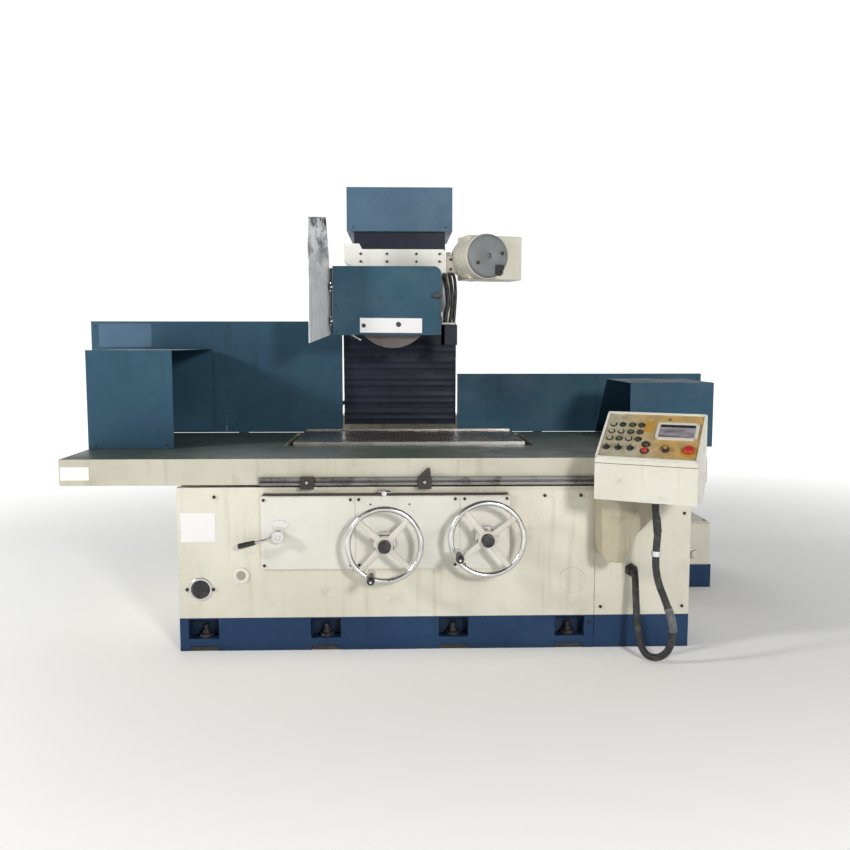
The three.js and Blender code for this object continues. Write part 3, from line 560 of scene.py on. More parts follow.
def display_glass():
    """Dark display with a paler reflection band, under a scratched window."""
    r = Recipe("display_glass")
    band = r.ramp(r.noise(2.2, 3.0, 0.5, r.stretched((1, 6, 14))), 0.42, 0.6)
    tone = r.mix(band, (0.12, 0.11, 0.13), (0.36, 0.32, 0.36))
    r.set(Base_Color=tone, Roughness=0.18, Coat_Weight=0.6)
    r.bump(r.noise(60), 0.03, 0.0002)
    return r.material


CREAM_TONE = (0.63, 0.605, 0.505)
CREAM_DARK = (0.27, 0.225, 0.14)
CREAM_LIGHT = (0.70, 0.68, 0.585)
BLUE_TONE = (0.018, 0.064, 0.112)
# The colours and surfaces, by the name the pieces use.
M = {
    "cream": worn_paint("cream_enamel", CREAM_TONE, CREAM_DARK, CREAM_LIGHT, 0.42, 0.5, 0.28, 0.55),
    "cream_clean": worn_paint("cream_cover", (0.68, 0.67, 0.605), (0.42, 0.37, 0.27), (0.73, 0.725, 0.67),
                              0.42, 0.3, 0.12, 0.4),
    "cream_head": worn_paint("cream_head", (0.78, 0.775, 0.73), (0.46, 0.38, 0.22), (0.82, 0.815, 0.78),
                             0.40, 0.35, 0.15, 0.6),
    "cream_chipped": worn_paint("cream_pendant", (0.59, 0.58, 0.50), (0.26, 0.21, 0.12),
                                (0.65, 0.64, 0.565), 0.40, 0.7, 0.35, 0.95, (0.22, 0.17, 0.11)),
    # Pendant arm: cream darkened as painted shadow of the pendant above it.
    "cream_in_painted_shadow": worn_paint("cream_arm", (0.36, 0.325, 0.235), (0.16, 0.125, 0.07), (0.46, 0.42, 0.31),
                              0.46, 0.7, 0.4, 0.8, (0.20, 0.16, 0.11)),
    "cream_apron": worn_paint("cream_apron", (0.47, 0.45, 0.365), (0.24, 0.20, 0.12), (0.55, 0.53, 0.445),
                              0.44, 0.6, 0.45, 0.8, (0.24, 0.21, 0.16)),
    "blue": worn_paint("blue_enamel", BLUE_TONE, (0.006, 0.019, 0.029), (0.026, 0.084, 0.128), 0.55, 0.5,
                       0.4, 0.5, (0.20, 0.27, 0.31), 0.3),
    "hood_blue": worn_paint("hood_enamel", (0.046, 0.104, 0.175), (0.020, 0.048, 0.075),
                            (0.062, 0.132, 0.210), 0.46, 0.3, 0.15, 0.5, (0.30, 0.35, 0.40), 0.4),
    "plinth": worn_paint("plinth_enamel", (0.011, 0.037, 0.098), (0.005, 0.012, 0.024),
                         (0.016, 0.050, 0.120), 0.5, 0.6, 0.4, 0.9, (0.22, 0.24, 0.26), 0.25),
    "navy": worn_paint("navy_cover", (0.010, 0.013, 0.027), (0.004, 0.004, 0.005), (0.016, 0.021, 0.038),
                       0.42, 0.6, 0.4, 0.6, (0.12, 0.12, 0.13), 0.22),
    "tray_top": worn_paint("tray_top", (0.070, 0.094, 0.080), (0.024, 0.028, 0.020),
                           (0.100, 0.126, 0.106), 0.44, 0.6, 0.3, 0.6),
    "rail": metal("stained_rail", (0.22, 0.215, 0.21), 0.36, (0.05, 0.042, 0.035), 0.7, (1, 8, 8)),
    "steel": metal("ground_steel", (0.56, 0.56, 0.55), 0.30, (0.20, 0.16, 0.11), 0.55, (1, 8, 8)),
    "bright": metal("turned_steel", (0.72, 0.72, 0.72), 0.24, (0.34, 0.30, 0.25), 0.35, (8, 1, 8)),
    "wheel_paint": worn_paint("handwheel_casting", (0.56, 0.53, 0.47), (0.22, 0.19, 0.15),
                              (0.68, 0.66, 0.60), 0.34, 0.45, 0.2, 0.8, (0.50, 0.50, 0.50)),
    "iron": metal("cast_iron", (0.20, 0.20, 0.20), 0.58, (0.09, 0.07, 0.05), 0.6, (3, 3, 3), 0.4, 0.7),
    "screw": metal("blackened_steel", (0.045, 0.043, 0.042), 0.42, (0.12, 0.08, 0.05), 0.5, (5, 5, 5),
                   0.2, 0.6),
    "black": plastic("black_plastic", (0.018, 0.018, 0.019), 0.34, 0.22),
    "rubber": plastic("conduit_rubber", (0.016, 0.016, 0.018), 0.50, 0.30, 500),
    "red": plastic("red_plastic", (0.42, 0.022, 0.018), 0.30, 0.15),
    "green": plastic("green_plastic", (0.045, 0.085, 0.030), 0.36, 0.25),
    "amber": plastic("amber_plastic", (0.46, 0.25, 0.035), 0.36, 0.15),
    "bone": plastic("bone_plastic", (0.34, 0.31, 0.23), 0.36, 0.18),
    "white": plastic("white_plastic", (0.62, 0.60, 0.54), 0.38, 0.12),
    "plate": plastic("blank_plate", (0.80, 0.80, 0.80), 0.45, 0.10),
    "tape": plastic("grey_tape", (0.10, 0.105, 0.11), 0.35, 0.5, 120),
    "grey_cap": worn_paint("grey_cap", (0.175, 0.19, 0.20), (0.07, 0.07, 0.07), (0.22, 0.235, 0.245),
                           0.55, 0.5, 0.2, 0.6),
    "flap": flap_steel(),
    "pole": pole_plate(),
    "abrasive": abrasive(),
    "film": panel_film(),
    "display": display_glass(),
}


# ---- carried-over CAD nodes with fine edges -----------------------------------------------------
PLINTH_TOP = 0.132


def below_plinth(face):
    return 1 if face.calc_center_median().z < PLINTH_TOP - 1e-4 else 0


def facing_up(level):
    return lambda face: 1 if face.normal.z > 0.9 and face.calc_center_median().z > level else 0


def refine_frame_nodes():
    """Gives each CAD node that needs no drawn shape its bevels and materials."""
    cream_on_plinth = [M["cream"], M["plinth"]]
    tray_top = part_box("table_tray")[1][2] - 0.004
    for node in ("bed_casting", "rear_bed", "side_cabinet"):
        refined(node, cream_on_plinth, 0.003, below_plinth, PLINTH_TOP)
    refined("hydraulic_tank", cream_on_plinth, 0.003,
            lambda f: 1 if f.calc_center_median().z < 0.113 else 0, 0.1125)
    refined("table_tray", [M["cream_apron"], M["tray_top"]], 0.003, facing_up(tray_top))
    refined("magnetic_chuck", [M["steel"], M["pole"]], 0.0012, facing_up(0.765))
    refined("front_covers", M["cream_clean"], 0.003)
    for node in ("column_saddle", "column_casting"):
        refined(node, M["cream"], 0.004)
    # The arm's darker cream is the pendant's shadow, painted in.
    refined("pendant_arm", M["cream_in_painted_shadow"], 0.004)
    refined("wheelhead", M["cream_head"], 0.004)
    for node in ("rear_guard_left_outer", "rear_guard_left_inner", "rear_guard_right_inner",
                 "rear_guard_right_outer", "end_guard_left", "end_guard_right", "guard_frame_left",
                 "guard_frame_right", "wheel_guard"):
        refined(node, M["blue"], 0.0009)
    refined("column_hood", M["hood_blue"], 0.0014)
    refined("column_bellows", M["navy"], 0.0012)
    for node in ("pump_motor", "table_cylinder", "work_table"):
        refined(node, M["iron"], 0.0015)
    for node in ("piston_rod", "elevating_screw", "cross_screw", "spindle", "coolant_nozzle"):
        refined(node, M["bright"], 0.0008)
    refined("dog_rail", M["rail"], 0.0008)
    for node in ("trip_dog_left", "trip_dog_right", "cover_latch"):
        refined(node, M["screw"], 0.0010)
    refined("reversing_lever", M["bright"], 0.0008)
    refined("spark_flap", M["flap"], 0.0006)


# ---- pendant conduit ----------------------------------------------------------------------------
CONDUIT_RADIUS = 0.014
CONDUIT_ROUTE = [
    (0.931, -1.0596, 0.6145), (0.931, -1.0596, 0.590), (0.937, -1.060, 0.545), (0.940, -1.062, 0.500),
    (0.936, -1.064, 0.440), (0.936, -1.065, 0.378), (0.947, -1.067, 0.320), (0.968, -1.070, 0.264),
    (0.990, -1.072, 0.205), (1.003, -1.070, 0.150), (1.003, -1.062, 0.097), (0.988, -1.048, 0.048),
    (0.958, -1.028, 0.022), (0.926, -1.003, 0.027), (0.908, -0.980, 0.066), (0.903, -0.958, 0.124),
    (0.903, -0.938, 0.190), (0.903, -0.923, 0.250), (0.903, -0.912, 0.296), (0.903, -0.896, 0.312),
    (0.903, -0.8806, 0.312),
]


def distance_along(path):
    """Distance run to each point of a path."""
    runs = [0.0]
    for a, b in zip(path, path[1:]):
        runs.append(runs[-1] + (b - a).length)
    return runs


def sleeve(name, path, start, end, radius, material, ripple=0.0):
    """Tube round a stretch of the conduit, with an uneven surface where ripple is given."""
    runs = distance_along(path)
    stretch = [p for p, run in zip(path, runs) if start <= run <= end]
    bm = bmesh.new()
    add_tube(bm, stretch, lambda run: radius + ripple * math.sin(run * 700) * math.sin(run * 190), 20)
    return finish_mesh(name, bm, material, "bed", "black_rubber", 0.0)


def make_conduit():
    path = smooth_path(CONDUIT_ROUTE, 36)
    pitch = 0.0065
    bm = bmesh.new()
    add_tube(bm, path, lambda run: CONDUIT_RADIUS - 0.0008 * (1 + math.cos(2 * math.pi * run / pitch)), 18)
    tube = finish_mesh("conduit_hose", bm, M["rubber"], BODY_OF["conduit"], "black_rubber", 0.0, sharp=80)
    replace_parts(tube, "conduit")
    gland = refined("conduit_gland", M["screw"], 0.0010)
    clamp = sleeve("conduit_clamp", path, 0.176, 0.196, CONDUIT_RADIUS + 0.0028, M["bright"])
    tape_low = sleeve("conduit_tape_low", path, 0.395, 0.490, CONDUIT_RADIUS + 0.0014, M["tape"], 0.0007)
    tape_high = sleeve("conduit_tape_high", path, 0.052, 0.110, CONDUIT_RADIUS + 0.0012, M["rubber"], 0.0006)


# ---- hand controls ------------------------------------------------------------------------------
WHEEL_PLANE = -0.95
WHEEL_RADIUS = 0.138
HANDLE_REACH = 0.122
FORWARD = Vector((0, -1, 0))
PANEL_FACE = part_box("front_covers")[0][1]


def add_torus(bm, place, axis, radius, across, along, sides=96, around=18):
    """Adds a ring whose section is an ellipse."""
    profile = [
        (radius + across * math.cos(a), along * math.sin(a))
        for a in (2 * math.pi * k / around for k in range(around + 1))
    ]
    add_lathe(bm, profile, place, axis, sides)
    bmesh.ops.remove_doubles(bm, verts=bm.verts, dist=1e-6)


def add_knurled(bm, place, axis, radius, length, ridges=30, depth=0.0012):
    """Adds a knob with straight ridges round it and rounded ends."""
    frame_of = Matrix.Translation(place) @ turning(axis)
    sections = [(0.80, 0.0, 0), (0.97, 0.06, 0), (1.0, 0.16, 1), (1.0, 0.84, 1), (0.97, 0.94, 0),
                (0.78, 1.0, 0)]
    rings = []
    for share, along, ridged in sections:
        ring = []
        for i in range(ridges * 4):
            angle = 2 * math.pi * i / (ridges * 4)
            r = radius * share - (depth if ridged and i % 4 in (2, 3) else 0)
            ring.append(bm.verts.new(frame_of @ Vector((r * math.cos(angle), r * math.sin(angle),
                                                        along * length))))
        rings.append(ring)
    close_rings(bm, rings)


def rim_point(centre, reach, degrees, depth=0.0):
    """Point in a handwheel's plane, at a distance and an angle from its axis."""
    angle = math.radians(degrees)
    return Vector((centre[0] + reach * math.cos(angle), WHEEL_PLANE + depth,
                   centre[1] + reach * math.sin(angle)))


def add_spoke(bm, start, end, steps=12, sides=24):
    """Adds a flat cast spoke that narrows towards the middle and flares into hub and rim."""
    along = (end - start).normalized()
    across = along.cross(FORWARD)
    rings = []
    for k in range(steps + 1):
        t = k / steps
        wide = 0.0132 - 0.0034 * t + 0.0040 * (2 * t - 1) ** 6
        thick = 0.0078 - 0.0014 * t + 0.0018 * (2 * t - 1) ** 6
        centre = start.lerp(end, t)
        rings.append([
            bm.verts.new(centre + across * wide * math.copysign(abs(math.cos(a)) ** 0.6, math.cos(a))
                         + FORWARD * thick * math.copysign(abs(math.sin(a)) ** 0.6, math.sin(a)))
            for a in (2 * math.pi * i / sides for i in range(sides))
        ])
    close_rings(bm, rings)


def make_handwheel(label, centre, first_spoke, handle_angle):
    """Cast rim and spokes, turned hub and graduated collar, and the black knurled knob."""
    node = "handwheel_" + label
    body = BODY_OF[node]
    axis_point = Vector((centre[0], WHEEL_PLANE, centre[1]))
    casting = bmesh.new()
    for i in range(4):
        start = rim_point(centre, 0.018, first_spoke + 90 * i, -0.004)
        end = rim_point(centre, WHEEL_RADIUS - 0.003, first_spoke + 90 * i)
        add_spoke(casting, start, end)
    pad = rim_point(centre, HANDLE_REACH, handle_angle)
    add_lathe(casting, mm(0, -10, 15.5, -10, 17, -7, 17, 9, 15.5, 12, 0, 12), pad, FORWARD, 32)
    add_lathe(casting, mm(0, 12, 25.5, 12, 29.5, 10, 33.5, 4, 34, -12, 30, -22, 0, -22), axis_point,
              FORWARD, 56)
    wheel = finish_mesh(node + "_casting", casting, M["wheel_paint"], body, "bright_steel", 0.0, sharp=40)
    hub = bmesh.new()
    add_torus(hub, axis_point, FORWARD, WHEEL_RADIUS, 0.0108, 0.0108)
    add_lathe(hub, mm(0, -95, 12, -95, 12, -50, 0, -50), axis_point, FORWARD, 32)
    add_lathe(hub, mm(0, -58, 43, -58, 46, -56, 46, -36, 41, -22, 0, -22), axis_point, FORWARD, 72)
    add_lathe(hub, mm(0, 12, 5, 12, 5, 113.5, 4, 114.2, 0, 114.2), pad, FORWARD, 16)
    finish_mesh(node + "_hub", hub, M["bright"], body, "bright_steel", 0.0)
    marks = bmesh.new()
    spin = Matrix.Translation(axis_point) @ turning(FORWARD)
    for i in range(60):
        long_mark = 0.010 if i % 5 == 0 else 0.006
        place = Matrix.Rotation(2 * math.pi * i / 60, 4, "Z")
        place = place @ Matrix.Translation((0.0460, 0, -0.038 - long_mark / 2))
        bmesh.ops.create_cube(marks, size=1.0,
                              matrix=spin @ place @ Matrix.Diagonal((0.0004, 0.0009, long_mark, 1)))
    finish_mesh(node + "_graduations", marks, M["black"], body, "black_steel", 0.0)
    knob = bmesh.new()
    add_knurled(knob, axis_point + FORWARD * 0.0125, FORWARD, 0.0250, 0.0275, 8, 0.0042)
    add_lathe(knob, mm(0, 39.5, 10, 39.5, 10.5, 38, 0, 38), axis_point, FORWARD, 24)
    finish_mesh(node + "_knob", knob, M["black"], body, "black_plastic", 0.0006, 1)
    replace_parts(wheel, node)


def make_revolving_handle(label, centre, handle_angle):
    """Black tapered grip with a steel ferrule, turning on the handwheel's pin."""
    node = "handle_" + label
    place = rim_point(centre, HANDLE_REACH, handle_angle, -0.0125)
    shape = mm(5.6, 6, 10.8, 6.2, 11.2, 10, 12.2, 28, 14.2, 50, 15.8, 68, 15.6, 82, 13.6, 92, 9.5, 96.6,
               5.6, 97.6)
    handle = turned(node + "_grip", (shape, place, FORWARD, 40), M["black"], BODY_OF[node], "black_plastic",
                    0.0, sharp=50)
    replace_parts(handle, node)
    turned(node + "_ferrule", (mm(5.6, 0, 10.6, 0, 11, 2, 10.8, 6.2, 5.6, 6.2), place, FORWARD, 32),
           M["bright"], BODY_OF[node], "bright_steel", 0.0)


LEVER_HUB = Vector((-0.468, -0.882, 0.458))
LEVER_TIP = Vector((-0.619, -0.898, 0.425))


def make_table_lever():
    """Round steel hub, slim rod and a thick black grip; the scale behind it belongs to the bed."""
    body = BODY_OF["table_lever"]
    knee = LEVER_HUB.lerp(LEVER_TIP, 0.58) + FORWARD * 0.001
    hub = bmesh.new()
    add_lathe(hub, mm(0, -23.7, 22, -23.7, 22, -6, 24.5, -4, 24.5, 8.5, 22.5, 11.8, 11, 11.8, 10, 9, 0, 9),
              LEVER_HUB, FORWARD, 56)
    add_tube(hub, [LEVER_HUB.lerp(knee, k / 6) for k in range(7)], 0.0058, 18)
    lever = finish_mesh("table_lever_hub", hub, M["bright"], body, "bright_steel", 0.0)
    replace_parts(lever, "table_lever")
    grip = bmesh.new()
    along = (LEVER_TIP - knee).normalized()
    length = (LEVER_TIP - knee).length
    add_lathe(grip, [
        (0, -0.002), (0.0075, -0.002), (0.0088, 0.001), (0.0098, 0.010), (0.0108, length * 0.6),
        (0.0108, length - 0.006), (0.0085, length - 0.001), (0, length),
    ], knee, along, 32)
    finish_mesh("table_lever_grip", grip, M["black"], body, "black_plastic", 0.0, sharp=50)
    low, high, steps = math.radians(48), math.radians(132), 20
    arc = [low + (high - low) * k / steps for k in range(steps + 1)]
    outline = [(0.060 * math.cos(a), 0.060 * math.sin(a)) for a in arc]
    outline += [(0.034 * math.cos(a), 0.034 * math.sin(a)) for a in reversed(arc)]
    plate_from_outline(
        "table_lever_scale", outline,
        lambda u, v, d: Vector((LEVER_HUB.x + u, PANEL_FACE - 0.0001 - d, LEVER_HUB.z + v)),
        0.0012, M["bright"], "bed", "bright_steel", 0.0003,
    )


# ---- wheelhead pieces ---------------------------------------------------------------------------
SPINDLE = (-0.034, 1.350)
MOTOR = Matrix.Translation((0.414, -0.120, 1.597)) @ Matrix.Rotation(math.radians(18), 4, "Z")
GUARD_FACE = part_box("guard_cover")[0][1]


def on_motor(x, y, z):
    return MOTOR @ Vector((x, y, z))


def make_motor():
    """Cream motor barrel with a grey end cap, gear case, bracket and cable gland."""
    backward = MOTOR.to_3x3() @ Vector((0, 1, 0))
    front = on_motor(0, 0, 0)
    barrel = mm(0, 26.2, 98, 26.2, 103.5, 29, 104, 34, 104, 150, 102.5, 152, 102.5, 156, 104, 158, 104, 225,
                0, 225)
    main = turned("elevating_motor_barrel", (barrel, front, backward, 96), M["cream"], "head",
                  "cream_paint", 0.0)
    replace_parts(main, "elevating_motor")
    case = bmesh.new()
    add_box(case, (-0.070, 0.084, -0.102), (0.205, 0.225, 0.102), MOTOR)
    add_box(case, (0.2223, 0.040, 1.531), (0.320, 0.150, 1.611))
    finish_mesh("elevating_motor_case", case, M["cream"], "head", "cream_paint", 0.005, 3)
    cap = mm(0, 12, 11, 12, 12, 3.5, 16, 2, 80, 0.5, 92, 4, 98.5, 12, 100, 26.2, 0, 26.2)
    turned("elevating_motor_cap", (cap, front, backward, 96), M["grey_cap"], "head", "cast_iron", 0.0,
           sharp=50)
    bolts = [on_motor(x, 0.0018, z) for x, z in ((-0.058, -0.033), (0.064, 0.012))]
    screws("motor_cap_screws", bolts, -backward, 0.0085, "head", "socket")
    bracket_bolts = [(x, 0.0398, z) for x in (0.245, 0.298) for z in (1.548, 1.594)]
    screws("motor_bracket_screws", bracket_bolts, (0, -1, 0), 0.007, "head", "socket")
    gland = bmesh.new()
    add_lathe(gland, mm(0, 1, 19.8, 1, 19.8, -6, 16, -8, 16, -13.8, 0, -13.8), on_motor(0.048, 0, -0.072),
              backward, 24)
    add_box(gland, (0.030, -0.012, -0.064), (0.070, 0.002, -0.042), MOTOR)
    finish_mesh("elevating_motor_gland", gland, M["black"], "head", "black_plastic", 0.0005)


def make_guard_cover():
    """Blue cover plate with black hinges, bright pins, edge fold and a blank strip."""
    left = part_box("wheel_guard")[0][0]
    refined("guard_cover", [M["blue"], M["screw"]], 0.0008,
            lambda face: 1 if face.calc_center_median().x < left - 0.0005 else 0)
    pins = bmesh.new()
    for z in (1.297, 1.451):
        for end in (-1, 1):
            add_lathe(pins, mm(0, 0, 4.8, 0, 4.8, 3, 3, 4.5, 0, 4.5), (-0.316, -0.150, z + end * 0.016),
                      (0, 0, end), 20)
        add_lathe(pins, mm(0, 0, 5.2, 0, 4.6, 2.2, 0, 3), (-0.3120, GUARD_FACE - 0.0002, z), FORWARD, 20)
    finish_mesh("guard_hinge_pins", pins, M["bright"], "guard_cover", "bright_steel", 0.0)
    boxes("guard_hinge_leaf", [((-0.3165, -0.1525, 1.242), (-0.3075, -0.1465, 1.536))], M["navy"],
          "guard_cover", "black_steel", 0.0008)
    strip = [(-0.183, 1.244), (0.102, 1.242), (0.102, 1.309), (-0.183, 1.311)]
    plate_from_outline("guard_blank_strip", strip, lambda u, v, d: Vector((u, -0.1501 - d, v)), 0.0008,
                       M["plate"], "guard_cover", "cream_paint", 0.0002)
    holes = bmesh.new()
    for x, z, r in ((-0.166, 1.276, 0.010), (-0.006, 1.281, 0.012)):
        add_lathe(holes, [(0, 0), (r, 0), (r * 0.92, 0.0012), (0, 0.0015)], (x, -0.1509, z), FORWARD, 32)
    finish_mesh("guard_strip_plugs", holes, M["black"], "guard_cover", "black_plastic", 0.0)
    places = [(x, -0.150, z) for x, z in ((-0.290, 1.250), (-0.290, 1.370), (-0.290, 1.530),
                                          (0.172, 1.250), (0.120, 1.530))]
    screws("guard_cover_screws", places, (0, -1, 0), 0.0045, "guard_cover", "pan")


def make_way_cover(node):
    """Telescoping cover plate with a front lip and pressed ribs."""
    low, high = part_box(node)
    front, back = low[1], high[1]
    ribs = 2
    profile = [(front, low[2]), (front, low[2] + 0.005), (front + 0.0015, low[2] + 0.006)]
    for k in range(ribs):
        z = low[2] + 0.030 + 0.031 * k
        if z + 0.005 < high[2]:
            profile += [
                (front + 0.0015, z - 0.0035), (front + 0.0004, z - 0.001), (front + 0.0004, z + 0.001),
                (front + 0.0015, z + 0.0035),
            ]
    profile += [(front + 0.0015, high[2]), (back, high[2]), (back, low[2])]
    bm = bmesh.new()
    sides = [[bm.verts.new((x, y, z)) for y, z in profile] for x in (low[0], high[0])]
    for k in range(len(profile)):
        j = (k + 1) % len(profile)
        bm.faces.new((sides[0][k], sides[0][j], sides[1][j], sides[1][k]))
    bm.faces.new(sides[0][::-1])
    bm.faces.new(sides[1])
    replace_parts(finish_mesh(node + "_ribbed", bm, M["navy"], BODY_OF[node], "navy_paint", 0.0), node)


def make_grinding_wheel():
    """Wheel with worn arrises."""
    bore, radius, half = 0.0635, 0.1775, 0.025
    bm = bmesh.new()
    add_lathe(bm, [
        (bore, -half), (radius - 0.003, -half), (radius - 0.0008, -half + 0.001), (radius, -half + 0.003),
        (radius, half - 0.003), (radius - 0.0008, half - 0.001), (radius - 0.003, half), (bore, half),
        (bore, -half),
    ], (SPINDLE[0], -0.050, SPINDLE[1]), FORWARD, 128)
    bmesh.ops.remove_doubles(bm, verts=bm.verts, dist=1e-6)
    wheel = finish_mesh("grinding_wheel_body", bm, M["abrasive"], "spindle", "abrasive", 0.0)
    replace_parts(wheel, "grinding_wheel")


# ---- pendant ------------------------------------------------------------------------------------
PENDANT_TURN = Matrix.Translation((0.700, -1.0766, 0.0)) @ Matrix.Rotation(math.radians(-27), 4, "Z")
SLOPE = math.atan2(0.935 - 0.785, 0.205)
PANEL = PENDANT_TURN @ Matrix.Translation((0, 0, 0.785)) @ Matrix.Rotation(SLOPE, 4, "X")
PANEL_NORMAL = PANEL.to_3x3() @ Vector((0, 0, 1))
PANEL_SIZE = (0.360, 0.205 / math.cos(SLOPE))


def on_panel(u, v, h=0.0):
    return PANEL @ Vector((u, v, h))


def rounded_rectangle(u0, u1, v0, v1, radius, steps=4):
    """Outline of a rectangle with rounded corners."""
    corners = [(u1 - radius, v1 - radius, 0), (u0 + radius, v1 - radius, 90),
               (u0 + radius, v0 + radius, 180), (u1 - radius, v0 + radius, 270)]
    return [
        (cu + radius * math.cos(math.radians(start + 90 * k / steps)),
         cv + radius * math.sin(math.radians(start + 90 * k / steps)))
        for cu, cv, start in corners for k in range(steps + 1)
    ]


def panel_plate(name, u0, u1, v0, v1, low, high, material, slot, radius=0.003, bevel=0.0006):
    outline = rounded_rectangle(u0, u1, v0, v1, radius)
    return plate_from_outline(name, outline, lambda u, v, d: on_panel(u, v, low + d), high - low, material,
                              "bed", slot, bevel)


def panel_frame(name, u0, u1, v0, v1, width, low, high, material, slot):
    """Raised border round a rectangle."""
    bm = bmesh.new()
    for a, b, c, d in ((u0, u1, v0, v0 + width), (u0, u1, v1 - width, v1), (u0, u0 + width, v0, v1),
                       (u1 - width, u1, v0, v1)):
        add_box(bm, (a, c, low), (b, d, high), PANEL)
    return finish_mesh(name, bm, material, "bed", slot, 0.0012, 3)


def on_control(name, node, profile, place, material, slot, sides=48, sharp=32):
    """Turned piece standing on the panel, riding on its control's body."""
    shape = (profile, on_panel(*place), PANEL_NORMAL, sides)
    return turned(name, shape, material, BODY_OF[node] if node else "bed", slot, 0.0, sharp=sharp)


def make_panel():
    """Film, raised rim, display window, the small buttons, lamp and rating block."""
    width, length = PANEL_SIZE
    panel_plate("panel_film", 0.007, width - 0.007, 0.006, length - 0.006, 0.0001, 0.0007, M["film"],
                "cream_paint")
    panel_frame("panel_rim", 0.0, width, 0.0, length, 0.009, 0.0, 0.0055, M["cream_clean"], "cream_paint")
    panel_frame("display_frame", 0.193, 0.341, 0.110, 0.202, 0.011, 0.0005, 0.0065, M["white"],
                "black_plastic")
    panel_plate("display_window", 0.203, 0.331, 0.120, 0.192, 0.0006, 0.0035, M["display"], "black_plastic")
    panel_plate("display_shade", 0.206, 0.328, 0.176, 0.191, 0.0035, 0.0048, M["black"], "black_plastic")
    panel_plate("rating_block", 0.150, 0.181, 0.148, 0.206, 0.0006, 0.0028, M["amber"], "black_plastic")
    rows, columns = (0.108, 0.146, 0.184), (0.033, 0.067, 0.102, 0.136)
    caps = {"black": bmesh.new(), "bone": bmesh.new(), "green": bmesh.new()}
    kinds = ["bone", "green", "bone", "black", "bone", "bone", "green", "black", "bone", "black", "green",
             "black"]
    rings = bmesh.new()
    for index, (v, u) in enumerate((v, u) for v in rows for u in columns):
        place = on_panel(u, v)
        add_lathe(rings, mm(8.5, 0.6, 12.8, 0.6, 12.8, 2.8, 11.5, 4.2, 9, 4.2, 8.5, 3), place, PANEL_NORMAL,
                  32)
        add_lathe(caps[kinds[index]], mm(0, 0.6, 8.3, 0.6, 8.3, 7.8, 7.2, 9, 0, 9.4), place, PANEL_NORMAL, 32)
    finish_mesh("button_rings", rings, M["screw"], "bed", "black_steel", 0.0)
    for kind, bm in caps.items():
        finish_mesh("buttons_" + kind, bm, M[kind], "bed", "black_plastic", 0.0)
    on_control("panel_lamp", None, mm(0, 0.6, 5.5, 0.6, 5.5, 2.2, 4, 4, 0, 4.6), (0.232, 0.222), M["green"],
               "black_plastic", 24)
    corners = [on_panel(u, v, 0.0007) for u in (0.016, width - 0.016) for v in (0.016, length - 0.016)]
    screws("panel_screws", corners, PANEL_NORMAL, 0.0032, "bed", "pan", M["bright"])


def make_controls():
    """The controls that move, each turned to its own shape, with their bezels on the bed."""
    stop_disc = mm(0, 0.6, 30, 0.6, 30, 1.2, 0, 1.2)
    on_control("estop_backing", None, stop_disc, (0.320, 0.056), M["amber"], "black_plastic")
    head = on_control("estop_head", "estop_button",
                      mm(0, 13.8, 12.2, 13.8, 12.2, 6.8, 17.8, 6.8, 19, 8.2, 18.6, 12.5, 16, 16.5, 10, 18.5,
                         0, 19), (0.320, 0.056), M["red"], "red_plastic", 64, 50)
    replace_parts(head, "estop_button")
    on_control("estop_collar", None, mm(0, 1.2, 10.8, 1.2, 10.8, 8.2, 0, 8.2), (0.320, 0.056), M["screw"],
               "black_steel")
    for node, v, key, slot in (("stop_button", 0.048, "red", "red_plastic"),
                               ("start_button", 0.082, "black", "black_plastic")):
        cap = on_control(node + "_cap", node, mm(0, 4.9, 10.8, 4.9, 10.8, 9.2, 9.6, 10.6, 7, 9.8, 0, 9.6),
                         (0.168, v), M[key], slot)
        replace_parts(cap, node)
        on_control(node + "_bezel", None,
                   mm(12.5, 0.6, 15.5, 0.6, 15.2, 3.6, 13, 4.4, 12.5, 3.6, 12.5, 0.6), (0.168, v),
                   M["screw"], "black_steel")
    knob = bmesh.new()
    add_knurled(knob, on_panel(0.241, 0.056, 0.0012), PANEL_NORMAL, 0.0130, 0.0155, 24, 0.0008)
    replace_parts(finish_mesh("feed_knob_grip", knob, M["black"], "feed_knob", "black_plastic", 0.0),
                "feed_knob")
    on_control("feed_knob_top", "feed_knob", mm(0, 16, 8.5, 16, 8, 17.2, 0, 17.4), (0.241, 0.056),
               M["amber"], "black_plastic")
    for i, u in enumerate((0.031, 0.074, 0.117)):
        node = f"selector_{i + 1}"
        grip = bmesh.new()
        add_lathe(grip, mm(0, 1.2, 12, 1.2, 11.6, 6, 9.5, 7.2, 0, 7.2), on_panel(u, 0.056), PANEL_NORMAL, 40)
        add_box(grip, (u - 0.0034, 0.056 - 0.0108, 0.0065), (u + 0.0034, 0.056 + 0.0108, 0.0175), PANEL)
        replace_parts(finish_mesh(node + "_grip", grip, M["black"], node, "black_plastic", 0.0010, 3), node)
        on_control(node + "_bezel", None,
                   mm(12.4, 0.6, 16.5, 0.6, 16, 2.6, 13.2, 3.4, 12.4, 2.6, 12.4, 0.6), (u, 0.056),
                   M["bone"], "black_plastic")
        mark = bmesh.new()
        add_box(mark, (u - 0.0007, 0.056 + 0.001, 0.0172), (u + 0.0007, 0.056 + 0.010, 0.0178), PANEL)
        finish_mesh(node + "_mark", mark, M["plate"], node, "black_plastic", 0.0)


